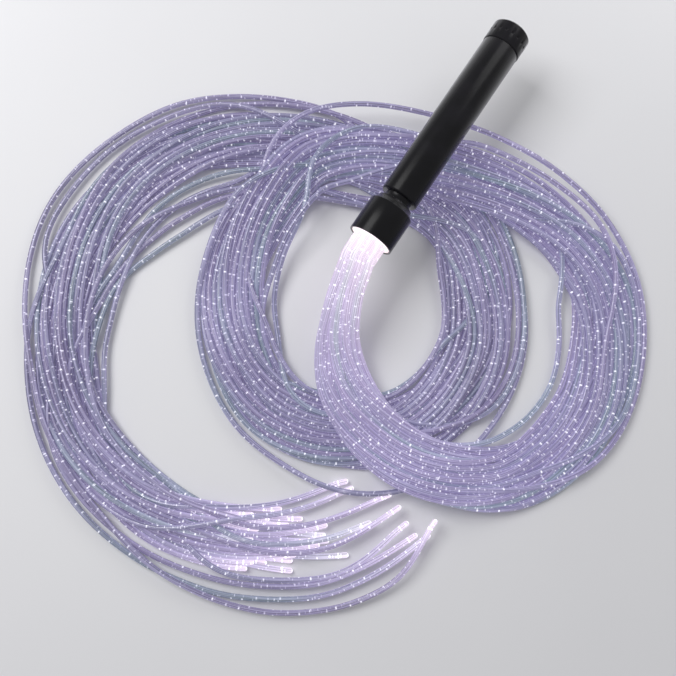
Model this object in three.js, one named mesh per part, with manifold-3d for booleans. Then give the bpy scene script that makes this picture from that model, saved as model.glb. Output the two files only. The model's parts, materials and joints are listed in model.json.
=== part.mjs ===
// Fibre optic wand: a black hand lamp whose clear rods lie on the table in three crossing rings.
// Millimetres, +Z up, the table at zero. The origin is on the table under the coil.
import * as THREE from 'three';
import { mergeVertices } from 'three/addons/utils/BufferGeometryUtils.js';
import Module from 'manifold-3d';

const wasm = await Module();
wasm.setup();

// Clearances shared by the whole wand
const seatGap = 0.3;
const runningGap = 0.3;

// Rods, and the locks of four rods that the bundle is made of
const rodDiameter = 3;
const lockDiameter = 5.2;
const lockCount = 7;
const lockGap = 0.45;
const strayGap = 1;
const bandStraight = 26.4;
const lockLength = 1378;
const bundleLead = 12;
const flattenFrom = 20;
const flattenTo = 105;
const weaveFrom = 70;
const weaveTurns = 2;
const ringTurns = 2.34;
const stepsPerRing = 24;
const tubeSides = 6;

// Where the handle lies
const mouthPlace = [17, 47];
const axisHeight = 33;
const axisTurnDegrees = 56.3;

// The origin lies on the table under the middle of this lock's stretch that starts here
const restLock = 5;
const restStation = 28;

// Front collar, whose mouth lets the rods through
const mouthClear = 0.19;
const collarWall = 0.9;
const collarStraight = 20;
const shoulderLength = 4;
const shoulderWall = 0.9;
const shoulderShares = [0.25, 0.35];
const collarFloor = 5.8;
const rimChamfer = 0.3;

// Plug, sleeve and potted ends of the bundle
const plugRecess = 0.3;
const plugLength = 4;
const sleeveBack = 1;
const sleeveWall = 1.9;

// Neck, its washer, clip and seal
const neckWall = 1.9;
const neckShows = 3.6;
const neckLip = 0.9;
const washerWall = 2.3;
const washerThickness = 0.6;
const clipThickness = 0.8;
const clipReach = 1.7;
const clipOpeningDegrees = 50;
const clipGrooveDepth = 0.7;
const neckSealSection = 1.1;
const neckSealSqueezeGap = 0.2;
const neckSealBack = 2;

// Barrel
const barrelWall = 1.2;
const barrelChamfer = 0.7;
const barrelWeb = 3.4;

// Lamp inside the barrel
const lensRim = 2.8;
const lensDome = 2.6;
const spacerLength = 3.9;
const spacerWall = 1.5;
const boardThickness = 1.6;
const emitterSide = 5;
const emitterBase = 0.9;
const emitterDome = 1.9;
const sinkLength = 8.1;
const sinkFloor = 3.4;
const sinkWall = 1.3;
const frontSpringLength = 4.3;
const frontSpringRadius = 3.2;
const springWire = 0.7;
const frontSpringTurns = 3;

// Cell
const cellDiameter = 18.4;
const cellLength = 65;
const nubRadius = 3;
const nubHeight = 1.5;
const cellEdge = 0.6;

// Tail cap and what it holds
const capProud = 0.3;
const capSpigotWall = 1.6;
const capSpigotLength = 6.4;
const capEndWall = 5.8;
const capChamfer = 0.9;
const capSealSection = 0.8;
const capSealFromEnd = 1.8;
const fluteCount = 18;
const fluteRadius = 1.1;
const fluteDepthShare = 0.45;
const fluteLength = 6.2;
const tailSpringLength = 5.4;
const tailSpringInset = 1.7;
const tailSpringTurns = 3;
const switchBoardThickness = 1.6;
const switchRingLength = 2.2;
const switchRingWall = 1.4;
const switchLength = 4.8;
const switchInset = 1.7;
const switchFloor = 0.6;
const plungerRadius = 1.6;
const buttonTravel = 1.3;
const buttonInset = 1.7;
const buttonFlange = 1.1;
const buttonRecess = 0.4;
const buttonCrown = 1;

// Faces round a turned piece
const roundSteps = 40;
const smallRoundSteps = 28;
const sealSides = 8;
const wireSides = 5;
const stepsPerCurl = 8;

// How finely a rod's gap to itself is measured
const gapSpacing = 4;

const inkBlack = { color: 0x0a0a0c, roughness: 0.22, metalness: 0.4 };
const looks = {
  anodised: inkBlack,
  clearRod: { color: 0xcfc8ea, roughness: 0.12, metalness: 0, transparent: true, opacity: 0.7 },
  resin: { color: 0xfff4f4, roughness: 0.2, metalness: 0 },
  steel: { color: 0xb8bac0, roughness: 0.3, metalness: 1 },
  brass: { color: 0xb5893c, roughness: 0.35, metalness: 1 },
  aluminium: { color: 0xc9ccd2, roughness: 0.4, metalness: 1 },
  rubber: { color: 0x141416, roughness: 0.8, metalness: 0 },
  nylon: { color: 0xe9e6dc, roughness: 0.6, metalness: 0 },
  glass: { color: 0xf2f6fa, roughness: 0.05, metalness: 0 },
  board: { color: 0x1d5a33, roughness: 0.5, metalness: 0 },
  phosphor: { color: 0xf2d24a, roughness: 0.4, metalness: 0 },
  cellWrap: { color: 0x2c6fb2, roughness: 0.35, metalness: 0 },
  blackPlastic: { color: 0x1a1a1c, roughness: 0.5, metalness: 0 },
};

function named(name, geometry, look) {
  const mesh = new THREE.Mesh(geometry, new THREE.MeshStandardMaterial(looks[look]));
  mesh.name = name;
  return mesh;
}

// Solids for cutting and joining

function solidOf(geometry) {
  const bare = geometry.index ? geometry.toNonIndexed() : geometry.clone();
  bare.deleteAttribute('normal');
  bare.deleteAttribute('uv');
  const merged = mergeVertices(bare, 1e-4);
  return new wasm.Manifold(new wasm.Mesh({
    numProp: 3,
    vertProperties: merged.attributes.position.array,
    triVerts: new Uint32Array(merged.index.array),
  }));
}

function geometryOf(solid) {
  const { vertProperties, triVerts } = solid.getMesh();
  const geometry = new THREE.BufferGeometry();
  geometry.setAttribute('position', new THREE.BufferAttribute(new Float32Array(vertProperties), 3));
  geometry.setIndex(new THREE.BufferAttribute(new Uint32Array(triVerts), 1));
  geometry.computeVertexNormals();
  return geometry;
}

// Turned pieces: an outline of [radius, distance along the axis], walked with the solid on its left

function turned(outline, steps = roundSteps) {
  const points = outline.map(([radius, along]) => new THREE.Vector2(radius, along));
  const onAxis = outline[0][0] === 0;
  if (!onAxis) points.push(points[0].clone());
  return new THREE.LatheGeometry(points, steps);
}

function ring(inner, outer, from, to, steps = roundSteps) {
  return turned([[inner, from], [outer, from], [outer, to], [inner, to]], steps);
}

function disc(radius, from, to, steps = roundSteps) {
  return turned([[0, from], [radius, from], [radius, to], [0, to]], steps);
}

function sealRing(middleRadius, section, middle) {
  const outline = [];
  for (let i = 0; i < sealSides; i += 1) {
    const angle = (i / sealSides) * 2 * Math.PI;
    const half = section / 2;
    outline.push([middleRadius + half * Math.cos(angle), middle + half * Math.sin(angle)]);
  }
  return turned(outline);
}

// A round tube through given points; upward is any direction that the tube never runs along
function tubeThrough(points, radius, sides, upward) {
  const positions = [];
  const faces = [];
  points.forEach((point, i) => {
    const before = points[Math.max(i - 1, 0)];
    const after = points[Math.min(i + 1, points.length - 1)];
    const ahead = after.clone().sub(before).normalize();
    const across = ahead.clone().cross(upward).normalize();
    const up = across.clone().cross(ahead);
    for (let k = 0; k < sides; k += 1) {
      const angle = ((k + 0.5) / sides) * 2 * Math.PI - Math.PI / 2;
      const corner = point.clone()
        .addScaledVector(across, radius * Math.cos(angle))
        .addScaledVector(up, radius * Math.sin(angle));
      positions.push(corner.x, corner.y, corner.z);
    }
  });
  for (let i = 0; i + 1 < points.length; i += 1) {
    for (let k = 0; k < sides; k += 1) {
      const next = (k + 1) % sides;
      const here = i * sides;
      const there = here + sides;
      faces.push(here + k, there + next, here + next, here + k, there + k, there + next);
    }
  }
  const last = (points.length - 1) * sides;
  for (let k = 1; k + 1 < sides; k += 1) {
    faces.push(0, k, k + 1, last, last + k + 1, last + k);
  }
  const geometry = new THREE.BufferGeometry();
  geometry.setAttribute('position', new THREE.Float32BufferAttribute(positions, 3));
  geometry.setIndex(faces);
  geometry.computeVertexNormals();
  return geometry;
}

function spring(radius, wire, turns, from, to) {
  const points = [];
  const steps = turns * stepsPerCurl;
  for (let i = 0; i <= steps; i += 1) {
    const angle = (i / stepsPerCurl) * 2 * Math.PI;
    const along = from + wire / 2 + (to - from - wire) * (i / steps);
    points.push(new THREE.Vector3(radius * Math.cos(angle), along, radius * Math.sin(angle)));
  }
  return tubeThrough(points, wire / 2, wireSides, new THREE.Vector3(0, 1, 0));
}

// In the mouth the locks stand in a ring, and a stray rod lies in a valley between two of them

const lockPitch = lockDiameter + lockGap;
const roundRadius = lockPitch / (2 * Math.sin(Math.PI / lockCount));
const halfLockTurn = Math.PI / lockCount;
const besideLock = (lockDiameter + rodDiameter) / 2 + strayGap;
const strayReach = roundRadius * Math.cos(halfLockTurn)
  + Math.sqrt(besideLock ** 2 - (roundRadius * Math.sin(halfLockTurn)) ** 2);

// Radii of the collar and of the neck that it turns on

const collarBore = strayReach + rodDiameter / 2 + mouthClear;
const collarRadius = collarBore + collarWall;
const neckRadius = collarBore - seatGap - washerWall - runningGap;
const neckBore = neckRadius - neckWall;
const shoulderRadius = neckRadius + runningGap + shoulderWall;
const clipRadius = neckRadius + clipReach;

// Places along the handle, from the mouth towards the tail

const collarLength = collarStraight + shoulderLength;
const collarFloorAt = collarLength - collarFloor;
const washerEnd = collarFloorAt - seatGap;
const clipEnd = washerEnd - washerThickness - seatGap;
const clipStart = clipEnd - clipThickness;
const neckStart = clipStart - seatGap - neckLip;
const barrelStart = collarLength + neckShows;
const plugEnd = plugRecess + plugLength;
const sleeveStart = plugEnd + seatGap;
const sleeveEnd = neckStart - sleeveBack;
const neckSealAt = collarFloorAt + neckSealBack;
const neckSealRadius = neckRadius + runningGap - neckSealSqueezeGap - neckSealSection / 2;
const barrelBore = cellDiameter / 2 + runningGap;
const barrelRadius = barrelBore + barrelWall;
const insideRadius = barrelBore - seatGap;
const lensStart = barrelStart + barrelWeb + seatGap;
const lensEnd = lensStart + lensRim;
const spacerEnd = lensEnd + seatGap + spacerLength;
const boardStart = spacerEnd + seatGap;
const boardEnd = boardStart + boardThickness;
const sinkStart = boardEnd + seatGap;
const sinkEnd = sinkStart + sinkLength;
const driverStart = sinkEnd + seatGap;
const driverEnd = driverStart + boardThickness;
const frontSpringStart = driverEnd + seatGap;
const cellStart = frontSpringStart + frontSpringLength + seatGap;
const cellEnd = cellStart + cellLength;
const tailSpringStart = cellEnd + seatGap;
const switchBoardStart = tailSpringStart + tailSpringLength + seatGap;
const switchBoardEnd = switchBoardStart + switchBoardThickness;
const capStart = switchBoardEnd + capSealFromEnd;
const barrelEnd = capStart - seatGap;
const housingStart = switchBoardEnd + seatGap;
const housingEnd = housingStart + switchLength;
const buttonStart = housingEnd + buttonTravel + 2 * seatGap;
const flangeEnd = buttonStart + buttonFlange;
const plungerEnd = buttonStart - seatGap;
const wellFloor = housingStart + switchFloor;
const plungerStart = wellFloor + buttonTravel + seatGap;
const capInnerEnd = flangeEnd + seatGap;
const capEnd = capInnerEnd + capEndWall;
const capRadius = barrelRadius + capProud;
const spigotRadius = barrelBore - runningGap;
const spigotBore = spigotRadius - capSpigotWall;
const spigotStart = capStart - capSpigotLength;
const inCap = spigotBore - seatGap;
const buttonRadius = spigotBore - buttonInset;
const switchRadius = inCap - switchInset;
const tailSpringRadius = inCap - switchRingWall - tailSpringInset;

// The collar: a thin sleeve that narrows behind to run on the neck
function collarShape() {
  const run = neckRadius + runningGap;
  const shoulderDrop = collarRadius - shoulderRadius;
  const [alongShare, inShare] = shoulderShares;
  return turned([
    [run, collarFloorAt],
    [collarBore, collarFloorAt],
    [collarBore, 0],
    [collarRadius - rimChamfer, 0],
    [collarRadius, rimChamfer],
    [collarRadius, collarStraight],
    [collarRadius - shoulderDrop * inShare, collarStraight + shoulderLength * alongShare],
    [shoulderRadius, collarLength - rimChamfer],
    [shoulderRadius - rimChamfer, collarLength],
    [run, collarLength],
  ]);
}

function bundleHolder() {
  const plugRadius = collarBore - seatGap;
  const holder = [
    named('front_collar', collarShape(), 'anodised'),
    named('bundle_plug', disc(plugRadius, plugRecess, plugEnd), 'resin'),
    named('ferrule', ring(plugRadius - sleeveWall, plugRadius, sleeveStart, sleeveEnd), 'brass'),
    named('potted_bundle', disc(plugRadius - sleeveWall - seatGap, sleeveStart, sleeveEnd), 'clearRod'),
  ];
  const washer = ring(neckRadius + runningGap, collarBore - seatGap, washerEnd - washerThickness, washerEnd);
  holder.push(named('swivel_washer', washer, 'nylon'));
  return holder;
}

// A clip with an open mouth, cut from flat strip and sprung into its groove
function clipShape() {
  const half = (clipOpeningDegrees / 2) * (Math.PI / 180);
  const inner = neckRadius - clipGrooveDepth + seatGap;
  const outline = new THREE.Shape();
  outline.absarc(0, 0, clipRadius, half, 2 * Math.PI - half, false);
  outline.absarc(0, 0, inner, 2 * Math.PI - half, half, true);
  outline.closePath();
  const strip = new THREE.ExtrudeGeometry(outline, {
    depth: clipThickness, bevelEnabled: false, curveSegments: smallRoundSteps,
  });
  strip.rotateX(-Math.PI / 2);
  strip.translate(0, clipStart, 0);
  return strip;
}

// The barrel: a thin tube with a solid web in front, and the grooved neck in one piece with it
function barrelShape() {
  const clipFloor = neckRadius - clipGrooveDepth;
  const sealFloor = neckSealRadius - neckSealSection / 2 - seatGap;
  const sealHalf = neckSealSection / 2 + seatGap;
  return turned([
    [neckBore, neckStart],
    [neckRadius, neckStart],
    [neckRadius, clipStart - seatGap],
    [clipFloor, clipStart - seatGap],
    [clipFloor, clipEnd + seatGap],
    [neckRadius, clipEnd + seatGap],
    [neckRadius, neckSealAt - sealHalf],
    [sealFloor, neckSealAt - sealHalf],
    [sealFloor, neckSealAt + sealHalf],
    [neckRadius, neckSealAt + sealHalf],
    [neckRadius, barrelStart],
    [barrelRadius - barrelChamfer, barrelStart],
    [barrelRadius, barrelStart + barrelChamfer],
    [barrelRadius, barrelEnd],
    [barrelBore, barrelEnd],
    [barrelBore, barrelStart + barrelWeb],
    [neckBore, barrelStart + barrelWeb],
  ]);
}

// The lens: a flat rim against the web, with a dome that looks through the neck
function lensShape() {
  const domeRadius = neckBore - seatGap;
  const outline = [[0, lensStart - lensDome]];
  const steps = 6;
  for (let i = 1; i <= steps; i += 1) {
    const angle = (i / steps) * (Math.PI / 2);
    outline.push([domeRadius * Math.sin(angle), lensStart - lensDome * Math.cos(angle)]);
  }
  outline.push([insideRadius, lensStart], [insideRadius, lensEnd], [0, lensEnd]);
  return turned(outline);
}

function emitterShape() {
  const top = boardStart - seatGap;
  const base = new THREE.BoxGeometry(emitterSide, emitterBase, emitterSide);
  base.translate(0, top - emitterBase / 2, 0);
  const dome = new THREE.SphereGeometry(emitterDome, smallRoundSteps, stepsPerCurl);
  dome.translate(0, top - emitterBase, 0);
  const behind = new THREE.BoxGeometry(emitterSide, emitterDome, emitterSide);
  behind.translate(0, top + emitterDome / 2, 0);
  return geometryOf(solidOf(base).add(solidOf(dome)).subtract(solidOf(behind)));
}

function sinkShape() {
  const hollow = insideRadius - sinkWall;
  return turned([
    [0, sinkStart],
    [insideRadius, sinkStart],
    [insideRadius, sinkEnd],
    [hollow, sinkEnd],
    [hollow, sinkStart + sinkFloor],
    [0, sinkStart + sinkFloor],
  ]);
}

function cellShape() {
  const radius = cellDiameter / 2;
  return turned([
    [0, cellStart],
    [nubRadius, cellStart],
    [nubRadius, cellStart + nubHeight],
    [radius - cellEdge, cellStart + nubHeight],
    [radius, cellStart + nubHeight + cellEdge],
    [radius, cellEnd - cellEdge],
    [radius - cellEdge, cellEnd],
    [0, cellEnd],
  ]);
}

function barrelPieces() {
  const spacerStart = lensEnd + seatGap;
  const frontSpringEnd = frontSpringStart + frontSpringLength;
  return [
    named('barrel', barrelShape(), 'anodised'),
    named('swivel_circlip', clipShape(), 'steel'),
    named('neck_o_ring', sealRing(neckSealRadius, neckSealSection, neckSealAt), 'rubber'),
    named('lens', lensShape(), 'glass'),
    named('lens_spacer', ring(insideRadius - spacerWall, insideRadius, spacerStart, spacerEnd), 'nylon'),
    named('led_emitter', emitterShape(), 'phosphor'),
    named('led_board', disc(insideRadius, boardStart, boardEnd), 'aluminium'),
    named('heat_sink', sinkShape(), 'brass'),
    named('driver_board', disc(insideRadius, driverStart, driverEnd), 'board'),
    named('front_spring', spring(frontSpringRadius, springWire, frontSpringTurns,
      frontSpringStart, frontSpringEnd), 'steel'),
    named('battery_cell', cellShape(), 'cellWrap'),
  ];
}

// The tail cap: a grip with flutes and a spigot that screws into the barrel
function capShape() {
  const sealMiddle = capStart - capSealFromEnd;
  const sealHalf = capSealSection / 2 + seatGap;
  const sealFloor = spigotRadius - capSealSection - seatGap / 2;
  const body = turned([
    [spigotBore, spigotStart],
    [spigotRadius, spigotStart],
    [spigotRadius, sealMiddle - sealHalf],
    [sealFloor, sealMiddle - sealHalf],
    [sealFloor, sealMiddle + sealHalf],
    [spigotRadius, sealMiddle + sealHalf],
    [spigotRadius, capStart],
    [capRadius - capChamfer / 2, capStart],
    [capRadius, capStart + capChamfer / 2],
    [capRadius, capEnd - capChamfer],
    [capRadius - capChamfer, capEnd],
    [buttonRadius + runningGap, capEnd],
    [buttonRadius + runningGap, capInnerEnd],
    [spigotBore, capInnerEnd],
  ]);
  let solid = solidOf(body);
  const middle = (capStart + capEnd) / 2;
  for (let i = 0; i < fluteCount; i += 1) {
    const angle = (i / fluteCount) * 2 * Math.PI;
    const reach = capRadius + fluteRadius * (1 - fluteDepthShare);
    const flute = new THREE.CapsuleGeometry(fluteRadius, fluteLength - 2 * fluteRadius, 2, stepsPerCurl);
    flute.translate(reach * Math.cos(angle), middle, reach * Math.sin(angle));
    solid = solid.subtract(solidOf(flute));
  }
  return geometryOf(solid);
}

function housingShape() {
  const well = plungerRadius + runningGap;
  return turned([
    [0, housingStart],
    [switchRadius, housingStart],
    [switchRadius, housingEnd],
    [well, housingEnd],
    [well, wellFloor],
    [0, wellFloor],
  ], smallRoundSteps);
}

function buttonShape() {
  const crown = capEnd - buttonRecess;
  return turned([
    [0, buttonStart],
    [spigotBore - runningGap, buttonStart],
    [spigotBore - runningGap, flangeEnd],
    [buttonRadius, flangeEnd],
    [buttonRadius, crown - buttonCrown],
    [buttonRadius * Math.cos(Math.PI / 6), crown - buttonCrown / 2],
    [buttonRadius / 2, crown - buttonCrown / 8],
    [0, crown],
  ]);
}

function tailPieces() {
  const ringEnd = switchBoardStart - seatGap;
  const sealRadius = spigotRadius - capSealSection / 2;
  const tailSpringEnd = tailSpringStart + tailSpringLength;
  return [
    named('tail_spring', spring(tailSpringRadius, springWire, tailSpringTurns,
      tailSpringStart, tailSpringEnd), 'steel'),
    named('tail_cap', capShape(), 'anodised'),
    named('tail_o_ring', sealRing(sealRadius, capSealSection, capStart - capSealFromEnd), 'rubber'),
    named('switch_ring', ring(inCap - switchRingWall, inCap, ringEnd - switchRingLength, ringEnd), 'brass'),
    named('switch_board', disc(inCap, switchBoardStart, switchBoardEnd), 'board'),
    named('switch_housing', housingShape(), 'blackPlastic'),
    named('switch_plunger', disc(plungerRadius, plungerStart, plungerEnd, smallRoundSteps), 'nylon'),
    named('tail_button', buttonShape(), 'rubber'),
  ];
}

// The bundle's route: the middle of its section, from the mouth to past the tips.
// The coil's middle is at zero, each pass that crosses over another lies a layer higher.
const route = [
  [2.5, 14, 27], [-0.5, -7, 20.5], [5.5, -32, 16.7], [22, -54.5, 16.3], [41, -69, 16.3],
  [65, -77.5, 14.5], [92, -77, 9], [119, -62, 5.4], [139, -37, 4.9], [148, -5, 4.9], [146, 27, 6], [131, 54, 10.5],
  [107, 73, 15.9], [76, 89, 16.3], [42, 101, 16.3], [10, 106, 16.3], [-17, 101, 16.3],
  [-38, 80, 16], [-53, 54, 11], [-60, 20, 6], [-55, -9, 4.9], [-39, -36, 4.9], [-16, -51, 4.9],
  [10, -56, 4.9], [39, -50, 4.9], [63, -31, 4.9], [78, -4, 4.9], [79, 29, 4.9], [69, 61, 4.9],
  [47, 85, 4.9], [15, 103, 4.9], [-19, 115, 4.9], [-54, 118, 4.9], [-88, 110, 4.9],
  [-118, 91, 4.9], [-139, 62, 4.9], [-150, 29, 4.9], [-152, -6, 4.9], [-143.5, -43, 4.9],
  [-124.5, -73, 4.9], [-96, -95, 4.9], [-62, -107, 4.9], [-29, -110.5, 4.9], [4, -107.5, 4.9],
  [34, -100, 4.9], [60, -88, 4.9], [82, -73, 4.9],
];

// Single rods that stray: distance along the route, distance outwards from it, height above the table
const strays = [
  {
    valley: 0,
    way: [
      [40, 14, 26], [62, 22, 19], [90, 27, 14], [118, 27.5, 13.2], [140, 27.5, 10], [165, 27, 4.5],
      [190, 27, 1.2], [330, 27.5, 1.2], [377, 30, 1.2], [412, 34, 1.2], [430, 34, 2.8], [450, 33, 7],
      [472, 30, 12.8], [508, 29, 13], [537, 28.5, 12.2], [568, 28, 5], [590, 28, 1.2], [650, 27, 1.2],
      [690, 26.4, 1.2], [740, 26.4, 1.2], [790, 33, 1.2], [880, 32, 1.2], [1000, 33, 1.2],
      [1060, 30, 1.2], [1200, 31, 1.2], [1245, 36, 1.2], [1300, 45, 1.2], [1350, 45, 1.2],
      [1400, 39, 1.2], [1450, 27, 1.2],
    ],
  },
  {
    valley: 3,
    way: [
      [40, -13, 32], [62, -18, 25], [90, -22, 16], [118, -22, 13.2], [140, -22, 12.6], [165, -22, 11],
      [190, -23, 6.5], [212, -25, 1.2], [250, -31, 1.2], [285, -32, 1.2], [320, -27, 1.4],
      [350, -23, 6], [372, -21.4, 13.4], [480, -21.4, 12.8], [508, -21.6, 8], [540, -22, 2],
      [560, -24, 1.2], [610, -28, 1.2], [650, -27, 1.2], [700, -22, 1.2], [772, -22.4, 1.2],
      [806, -21.6, 12.6], [847, 22.2, 13], [874, 22.8, 1.4], [905, 22.4, 1.2], [1040, 22.5, 1.2],
      [1100, 25, 1.2], [1200, 26, 1.2], [1250, 30, 1.2], [1300, 38, 1.2], [1350, 38, 1.2],
      [1425, 27, 1.2],
    ],
  },
  {
    valley: 6,
    way: [
      [40, 10, 20], [62, 17, 14.5], [90, 21.8, 13], [118, 22, 13], [140, 22, 9.5], [165, 22, 4],
      [190, 21.6, 1.2], [395, 21.8, 1.2], [420, 21.8, 6], [445, 21.8, 10], [470, 21.6, 12.6],
      [508, 21.4, 12.8], [537, 21.6, 11.5], [568, 21.6, 5], [592, 21.6, 1.2], [760, 22, 1.2],
      [800, 26.4, 1.2], [1000, 26.8, 1.2], [1030, 25.4, 7], [1050, 22, 12.6], [1080, -20.8, 12.6],
      [1102, -21.8, 4], [1122, -22, 1.2], [1150, -22.2, 1.2], [1345, -22.2, 1.2],
    ],
  },
];

const axisTurn = THREE.MathUtils.degToRad(axisTurnDegrees);
const towardsTail = new THREE.Vector3(Math.cos(axisTurn), Math.sin(axisTurn), 0);
const mouth = new THREE.Vector3(mouthPlace[0], mouthPlace[1], axisHeight);
const skyward = new THREE.Vector3(0, 0, 1);

const leadEnd = mouth.clone().addScaledVector(towardsTail, -bundleLead);
const middleLine = new THREE.CatmullRomCurve3(
  [leadEnd, ...route.map(([x, y, z]) => new THREE.Vector3(x, y, z))], false, 'centripetal',
);
middleLine.arcLengthDivisions = 2000;
const routeLength = middleLine.getLength();

// The section's place at a distance from the mouth: its middle, and the direction to its outer side
function sectionAt(distance) {
  if (distance <= bundleLead) {
    const middle = mouth.clone().addScaledVector(towardsTail, -distance);
    return { middle, outwards: towardsTail.clone().negate().cross(skyward) };
  }
  const share = Math.min((distance - bundleLead) / routeLength, 1);
  const ahead = middleLine.getTangentAt(share).setZ(0).normalize();
  return { middle: middleLine.getPointAt(share), outwards: ahead.cross(skyward) };
}

function eased(value, from, to) {
  const t = Math.min(Math.max((value - from) / (to - from), 0), 1);
  return t * t * (3 - 2 * t);
}

// A point on a flat loop with round ends, by its share of the way round: [outwards, up]
function onFlatLoop(share, straight, radius) {
  const arc = Math.PI * radius;
  let way = (share - Math.floor(share)) * (2 * straight + 2 * arc);
  if (way < arc / 2) return endPoint(straight / 2, way / radius, radius);
  way -= arc / 2;
  if (way < straight) return [straight / 2 - way, radius];
  way -= straight;
  if (way < arc) return endPoint(-straight / 2, Math.PI / 2 + way / radius, radius);
  way -= arc;
  if (way < straight) return [way - straight / 2, -radius];
  way -= straight;
  return endPoint(straight / 2, way / radius - Math.PI / 2, radius);
}

function endPoint(middle, angle, radius) {
  return [middle + radius * Math.cos(angle), radius * Math.sin(angle)];
}

// The bundle is round at the mouth and settles into a flat band two locks deep.
// Its locks wander round the band as they go, so that all of them are about as long.
const flatRadius = lockPitch / 2;

function lockPoint(lock, distance) {
  const flat = eased(distance, flattenFrom, flattenTo);
  const straight = bandStraight * flat;
  const radius = roundRadius + (flatRadius - roundRadius) * flat;
  const woven = weaveTurns * Math.max(distance - weaveFrom, 0) / (lockLength - weaveFrom);
  const [outwards, up] = onFlatLoop((lock + 0.5) / lockCount + woven, straight, radius);
  const section = sectionAt(distance);
  return section.middle.addScaledVector(section.outwards, outwards).addScaledVector(skyward, up);
}

function strayPoint(stray, distance) {
  const angle = (stray.valley / lockCount) * 2 * Math.PI;
  const start = [strayReach * Math.cos(angle), axisHeight + strayReach * Math.sin(angle)];
  const places = [[0, ...start], [rodDiameter * 2, ...start], ...stray.way];
  const next = places.findIndex(([along]) => along > distance);
  const section = sectionAt(distance);
  let [outwards, height] = places[places.length - 1].slice(1);
  if (next > 0) {
    const [from, outFrom, upFrom] = places[next - 1];
    const [to, outTo, upTo] = places[next];
    const t = eased(distance, from, to);
    outwards = outFrom + (outTo - outFrom) * t;
    height = upFrom + (upTo - upFrom) * t;
  }
  return section.middle.addScaledVector(section.outwards, outwards).setZ(height);
}

// Distances at which a rod gets a ring of corners: square to the plug for one diameter, then
// at the same stations on every rod, so that neighbours turn their corners side by side
const stationStep = lockLength / Math.round(stepsPerRing * ringTurns);

function distancesTo(length, diameter) {
  const distances = [0, diameter];
  for (let along = stationStep; along < length - stationStep / 2; along += stationStep) {
    distances.push(along);
  }
  distances.push(length);
  return distances;
}

function leastGapToItself(pointAt, length, diameter) {
  const points = [];
  for (let distance = 0; distance <= length; distance += gapSpacing) points.push(pointAt(distance));
  const apart = Math.ceil((4 * diameter) / gapSpacing);
  let least = Infinity;
  points.forEach((point, i) => {
    for (let k = i + apart; k < points.length; k += 1) least = Math.min(least, point.distanceTo(points[k]));
  });
  return least - diameter;
}

function layOnTable(geometry) {
  const places = geometry.attributes.position;
  for (let i = 0; i < places.count; i += 1) places.setZ(i, Math.max(places.getZ(i), 0));
  geometry.computeVertexNormals();
  return geometry;
}

function layRod(name, pointAt, length, diameter) {
  const points = distancesTo(length, diameter).map(pointAt);
  const gap = leastGapToItself(pointAt, length, diameter);
  console.log(`${name}: ${Math.round(length)} mm of route, least gap to itself ${gap.toFixed(2)} mm`);
  const tube = layOnTable(tubeThrough(points, diameter / 2, tubeSides, skyward));
  return named(name, tube, 'clearRod');
}

function bundle() {
  const rods = [];
  for (let lock = 0; lock < lockCount; lock += 1) {
    rods.push(layRod(`fibre_lock_${lock + 1}`, (d) => lockPoint(lock, d), lockLength, lockDiameter));
  }
  strays.forEach((stray, i) => {
    const length = stray.way[stray.way.length - 1][0];
    rods.push(layRod(`stray_rod_${i + 1}`, (d) => strayPoint(stray, d), length, rodDiameter));
  });
  return rods;
}

// The flat underside that the origin is on
function restPoint() {
  const start = lockPoint(restLock, stationStep * restStation);
  const end = lockPoint(restLock, stationStep * (restStation + 1));
  return start.lerp(end, 0.5).setZ(0);
}

const handle = new THREE.Group();
handle.add(...bundleHolder(), ...barrelPieces(), ...tailPieces());
handle.position.copy(mouth);
handle.rotation.z = axisTurn - Math.PI / 2;

const wand = new THREE.Group();
wand.add(handle, ...bundle());
wand.position.copy(restPoint()).negate();

const whole = new THREE.Group();
whole.add(wand);

export default whole;
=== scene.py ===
# %% [markdown]
# A fibre optic wand: a black hand lamp that holds thirty-one clear rods in its mouth. The rods lie on
# the table in three crossing rings, lit from within. This lesson dresses the wand's imported model. The
# model already has every piece at its real size, so the first step is to load it.

# %% Load the wand
import json
import math

import bpy
import numpy as np
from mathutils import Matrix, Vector

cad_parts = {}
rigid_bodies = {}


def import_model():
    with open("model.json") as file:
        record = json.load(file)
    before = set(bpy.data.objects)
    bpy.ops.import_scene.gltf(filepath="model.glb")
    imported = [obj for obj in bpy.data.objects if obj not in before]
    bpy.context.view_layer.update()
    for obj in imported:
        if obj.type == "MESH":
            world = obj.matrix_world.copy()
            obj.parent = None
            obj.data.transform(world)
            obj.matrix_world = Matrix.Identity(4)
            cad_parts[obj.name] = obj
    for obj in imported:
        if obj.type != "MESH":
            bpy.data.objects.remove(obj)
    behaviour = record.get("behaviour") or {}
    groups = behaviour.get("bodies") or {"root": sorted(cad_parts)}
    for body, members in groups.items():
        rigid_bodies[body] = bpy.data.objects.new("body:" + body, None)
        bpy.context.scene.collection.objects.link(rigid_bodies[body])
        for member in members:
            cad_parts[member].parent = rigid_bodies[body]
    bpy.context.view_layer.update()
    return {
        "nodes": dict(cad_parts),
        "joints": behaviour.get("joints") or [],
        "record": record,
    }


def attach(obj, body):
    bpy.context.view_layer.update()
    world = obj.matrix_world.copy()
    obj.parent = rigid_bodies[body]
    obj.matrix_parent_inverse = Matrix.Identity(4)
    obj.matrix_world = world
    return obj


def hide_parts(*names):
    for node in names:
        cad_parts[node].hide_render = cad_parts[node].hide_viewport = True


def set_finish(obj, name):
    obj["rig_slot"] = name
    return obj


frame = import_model()
NODES = frame["nodes"]

# %% [markdown]
# The handle lies level above the rings. Its swivel joint gives the middle of the mouth and the way to
# the tail, so every piece of the handle can be placed from it. The rings were laid out about the middle
# of the coil, so that point is found from the mouth, too.

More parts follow.
